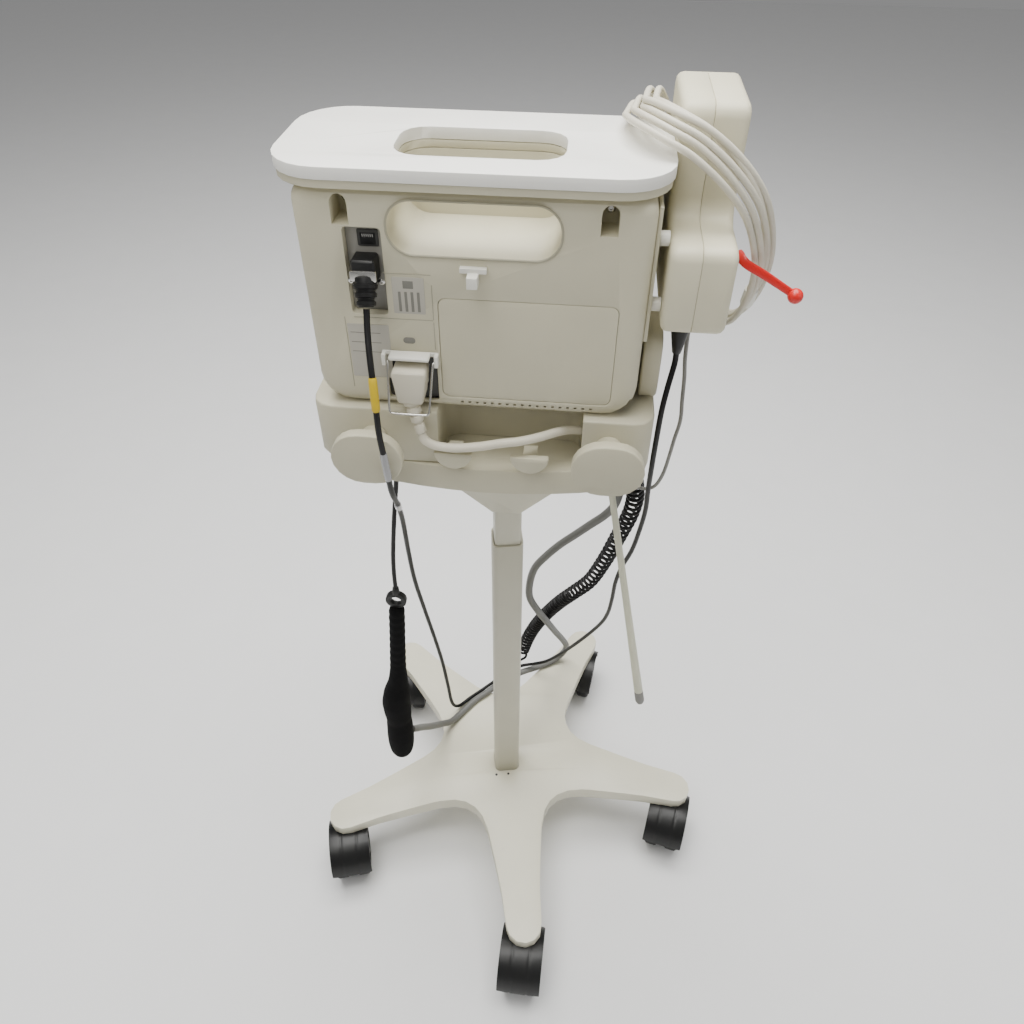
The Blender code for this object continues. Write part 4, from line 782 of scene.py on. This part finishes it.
    def rear_marks(self):
        """Plain film labels with blank rules, and the raised outline round the lower label."""
        self.plate("rating_label", -0.0665, 0.8945, 0.0245, 0.0300, "label")
        for k in range(4):
            self.plate(f"rating_rule_{k + 1}", -0.0735 + k * 0.0048, 0.8895, 0.0022, 0.0165, "print",
                       0.0005, 0.0003)
        self.plate("rating_block", -0.0665, 0.9035, 0.0080, 0.0062, "print", 0.0005, 0.0003)
        self.plate("side_label", -0.1010, 0.8445, 0.0330, 0.0480, "label")
        for k in range(3):
            self.plate(f"side_rule_{k + 1}", -0.1035, 0.8610 - k * 0.0085, 0.0240, 0.0006, "print",
                       0.0005, 0.0002)
        for k, (x, z, width, height) in enumerate(((-0.0800, 0.8745, 0.0620, 0.0006),
                                                   (-0.0486, 0.8895, 0.0006, 0.0290),
                                                   (-0.0668, 0.9120, 0.0360, 0.0006),
                                                   (-0.0486, 0.8610, 0.0006, 0.0240),
                                                   (-0.1185, 0.8420, 0.0006, 0.0640)), start=1):
            self.plate(f"panel_line_{k}", x, z, width, height, "lip_shade_and_seam", 0.0003, 0.0002)
        ring = slab("hand_mark", from_pole((-0.0690, REAR, 0.8560)), 0.0048, 0.0027, 0.0005,
                    (1, 0, 0), (0, 0, 1), 0.0026)
        finish_piece(ring, FINISHES["print"])

    def screen_side(self):
        """The display's mask and the bezel's keys."""
        for k in range(5):
            key = slab(f"bezel_key_{k + 1}", from_pole((-0.060 + k * 0.024, 0.0375, 0.7610)), 0.0085,
                       0.0042, 0.0012, (-1, 0, 0), (0, 0, 1), 0.0030)
            finish_piece(key, FINISHES["grey"])
        low, high = (np.array(corner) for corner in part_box("display_panel"))
        middle, half = (low + high) / 2, (high - low) / 2
        inner = slab("display_mask", (middle[0], high[1], middle[2]), half[0] - 0.009,
                     half[2] - 0.009, 0.0004, (-1, 0, 0), (0, 0, 1), 0.0020, edge=0.0002)
        finish_piece(inner, FINISHES["dark"])

    def casters(self):
        """A domed, grooved cover on every caster's hood and a hub cap on each wheel's outer face.

        Cover radius over the axle = R - a|s|^3 - two shallow grooves, s being the place across
        the hood as a share of its half width; the cover's edge curls in over the wheels.
        """
        self.hub_caps()
        for leg, centre, axle in self.wheel_axles():
            swivel = np.array(self.place_of("caster_swivel_" + leg), float)
            trail = unit((centre - swivel) * np.array([1, 1, 0]))
            sweep = np.radians(np.linspace(8, 146, 60))
            share = np.linspace(-1, 1, 41)
            groove = np.exp(-((np.abs(share) - 0.40) / 0.045) ** 2)
            dome = 0.0432 - 0.0010 * np.abs(share) ** 3 - 0.0006 * groove
            top = np.stack([share * 0.0272, dome], axis=1)
            edge = np.array([(0.0274, 0.0405), (0.0262, 0.0396)])
            under = np.stack([-share * 0.0250, np.full(41, 0.0418)], axis=1)
            loop = np.vstack([top, edge, under[1:-1], edge[::-1] * (-1, 1)])
            spoke = (np.cos(sweep)[:, None] * trail + np.sin(sweep)[:, None] * [0.0, 0.0, 1.0])
            grid = centre + loop[None, :, :1] * axle + loop[None, :, 1:] * spoke[:, None, :]
            if np.cross(axle, (0, 0, 1)) @ trail < 0:
                grid = grid[:, ::-1]
            cover = grid_piece("caster_cover_" + leg, grid)
            finish_piece(cover, FINISHES["caster"], "swivel_" + leg)

    def wheel_axles(self):
        """Each caster's leg, the middle of its axle and the axle's direction."""
        for joint in frame["joints"]:
            kind, found, leg = joint["name"].partition("caster_roll_")
            if found and not kind:
                yield leg, np.array(joint["pos_m"], float), unit(np.array(joint["axis"], float))

    def place_of(self, name):
        """Where a joint's axis stands."""
        for joint in frame["joints"]:
            if joint["name"] == name:
                return joint["pos_m"]
        raise KeyError(name)

    def hub_caps(self):
        """A hub cap on the outer face of every wheel."""
        for leg, centre, axle in self.wheel_axles():
            for side, word in ((1, "a"), (-1, "b")):
                face = centre + axle * side * HUB_FACE
                cap = turned(f"hub_cap_{leg}_{word}", face, face + axle * side,
                             ((-0.001, 0.0105), (0.0006, 0.0108), (0.0013, 0.0098), (0.0015, 0.0060),
                              (0.0009, 0.0045), (0.0009, 0.0008)), 24)
                finish_piece(cap, FINISHES["dark"], "wheels_" + leg)


class STAND_OT_hand_unit(bpy.types.Operator):
    """The black hand unit and the red tag"""
    bl_idname = "stand.hand_unit"
    bl_label = "Hand unit and tag"

    def execute(self, context):
        self.grip()
        self.tag()
        return {"FINISHED"}

    def grip(self):
        """A long handle with faint rings down to a bulb, a waist and a knob.

        Radius follows the profile; along the neck a small cosine gives its rings.
        """
        top, bottom = from_pole(HAND_TOP), from_pole(HAND_BOTTOM)
        length = float(np.linalg.norm(bottom - top))
        marks = np.array([(0, 0.0060), (0.002, 0.0080), (0.006, 0.0091), (0.060, 0.0093), (0.115, 0.0099),
                          (0.140, 0.0121), (0.160, 0.0164), (0.183, 0.0180), (0.207, 0.0169),
                          (0.219, 0.0156), (0.232, 0.0167), (0.255, 0.0173), (0.275, 0.0167),
                          (0.290, 0.0146), (0.299, 0.0104), (length - 0.0010, 0.0050),
                          (length, 0.0015)])
        along = np.unique(np.concatenate([np.linspace(0, length, 190), marks[:, 0]]))
        radius = smooth_profile(along, marks)
        neck = np.clip((0.118 - along) / 0.02, 0, 1) * np.clip(along / 0.01, 0, 1)
        radius = radius - neck * 0.0005 * (1 + np.cos(2 * math.pi * along / 0.0125)) / 2
        axis = unit(bottom - top)
        sway = np.interp(along, (0, 0.130, 0.183, 0.225, 0.285, length), (0, 0, -3.4, 0.2, 2.6, 3.2))
        sway = np.convolve(np.pad(sway, 12, mode="edge"), np.hanning(25) / np.hanning(25).sum(), "valid")
        turn = np.linspace(0, 2 * math.pi, 36, endpoint=False)
        side = unit(np.cross(axis, [0.0, 1.0, 0.0]))
        side = side * np.sign(side[0])
        ring = np.cos(turn)[:, None] * side + np.sin(turn)[:, None] * np.cross(axis, side)
        grid = (top + along[:, None, None] * axis + 0.001 * sway[:, None, None] * side
                + radius[:, None, None] * ring[None])
        unit_piece = grid_piece("hand_unit_body", grid)
        finish_piece(unit_piece, FINISHES["cuff"])
        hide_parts("hand_unit")
        socket = turned("hand_unit_socket", from_pole((-0.1318, -0.0511, 0.2407)),
                        from_pole((-0.1250, -0.0393, 0.2261)),
                        ((0, 0.0068), (0.008, 0.0066), (0.016, 0.0060), (0.0198, 0.0058)), 22)
        finish_piece(socket, FINISHES["black"])

    def tag(self):
        """A flat red tongue that ends in a ball."""
        bend = resample(((0.1800, -0.0380, 0.9190), (0.1815, -0.0470, 0.9175), (0.1870, -0.0506, 0.9140),
                         (0.1985, -0.0522, 0.9085), (0.2120, -0.0532, 0.9010),
                         (0.2235, -0.0540, 0.8945)), 46)
        line = from_pole(bend)
        along = unit(np.gradient(line, axis=0))
        across = unit(np.cross(along, [0.0, -1.0, 0.12]))
        out = np.cross(along, across)
        angle = np.linspace(0, 2 * math.pi, 20, endpoint=False)
        wide, thick = np.sign(np.cos(angle)) * np.abs(np.cos(angle)) ** 0.6, np.sin(angle)
        taper = np.interp(np.arange(46), [0, 3, 30, 45], [0.0026, 0.0036, 0.0033, 0.0030])
        grid = (line[:, None] + taper[:, None, None] * wide[None, :, None] * across[:, None]
                + 0.0012 * thick[None, :, None] * out[:, None])
        tongue = grid_piece("red_tag_tongue", grid)
        start, end = line[-12], line[-1]
        finish_piece(tongue, FINISHES["red"])
        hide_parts("red_tag")
        centre = from_pole((0.2257, -0.0543, 0.8930))
        angle = np.linspace(0.02, math.pi - 0.02, 22)
        axis = unit(end - start)
        ball = turned("red_tag_ball", centre - axis * 0.0060, centre + axis * 0.0060,
                      np.stack([0.0060 - 0.0060 * np.cos(angle), 0.0060 * np.sin(angle)], axis=1), 28)
        finish_piece(ball, FINISHES["red"])


def smooth_profile(along, marks):
    """Radius along a handle: straight pieces between marks, rounded by a short moving mean."""
    fine = np.linspace(marks[0, 0], marks[-1, 0], 1200)
    rough = np.interp(fine, marks[:, 0], marks[:, 1])
    kernel = np.hanning(61)
    kernel /= kernel.sum()
    padded = np.concatenate([rough[:1].repeat(30), rough, rough[-1:].repeat(30)])
    eased = np.convolve(padded, kernel, "valid")
    edge = np.clip(np.minimum(fine - fine[0], fine[-1] - fine) / 0.008, 0, 1)
    return np.interp(along, fine, rough * (1 - edge) + eased * edge)


class STAND_PT_panel(bpy.types.Panel):
    """Lists the building steps"""
    bl_label = "Monitor stand"
    bl_idname = "STAND_PT_panel"
    bl_space_type = "VIEW_3D"
    bl_region_type = "UI"
    bl_category = "Stand"

    def draw(self, context):
        for name in STEPS:
            self.layout.operator("stand." + name)
        for group in (context.scene.stand_cords, context.scene.stand_finishes):
            for key in group.__annotations__:
                self.layout.prop(group, key)


STEPS = ("stage", "cords", "frame_finishes", "fittings", "hand_unit")
CLASSES = (CordSettings, FinishSettings, STAND_OT_stage, STAND_OT_cords, STAND_OT_frame_finishes,
           STAND_OT_fittings, STAND_OT_hand_unit, STAND_PT_panel)


def register():
    """Make the settings, the steps and the panel known."""
    for item in CLASSES:
        bpy.utils.register_class(item)
    bpy.types.Scene.stand_cords = PointerProperty(type=CordSettings)
    bpy.types.Scene.stand_finishes = PointerProperty(type=FinishSettings)


def unregister():
    """Undo register."""
    del bpy.types.Scene.stand_cords
    del bpy.types.Scene.stand_finishes
    for item in reversed(CLASSES):
        bpy.utils.unregister_class(item)


def main():
    """Run every step in order."""
    register()
    for name in STEPS:
        getattr(bpy.ops.stand, name)()


if __name__ == "__main__":
    main()
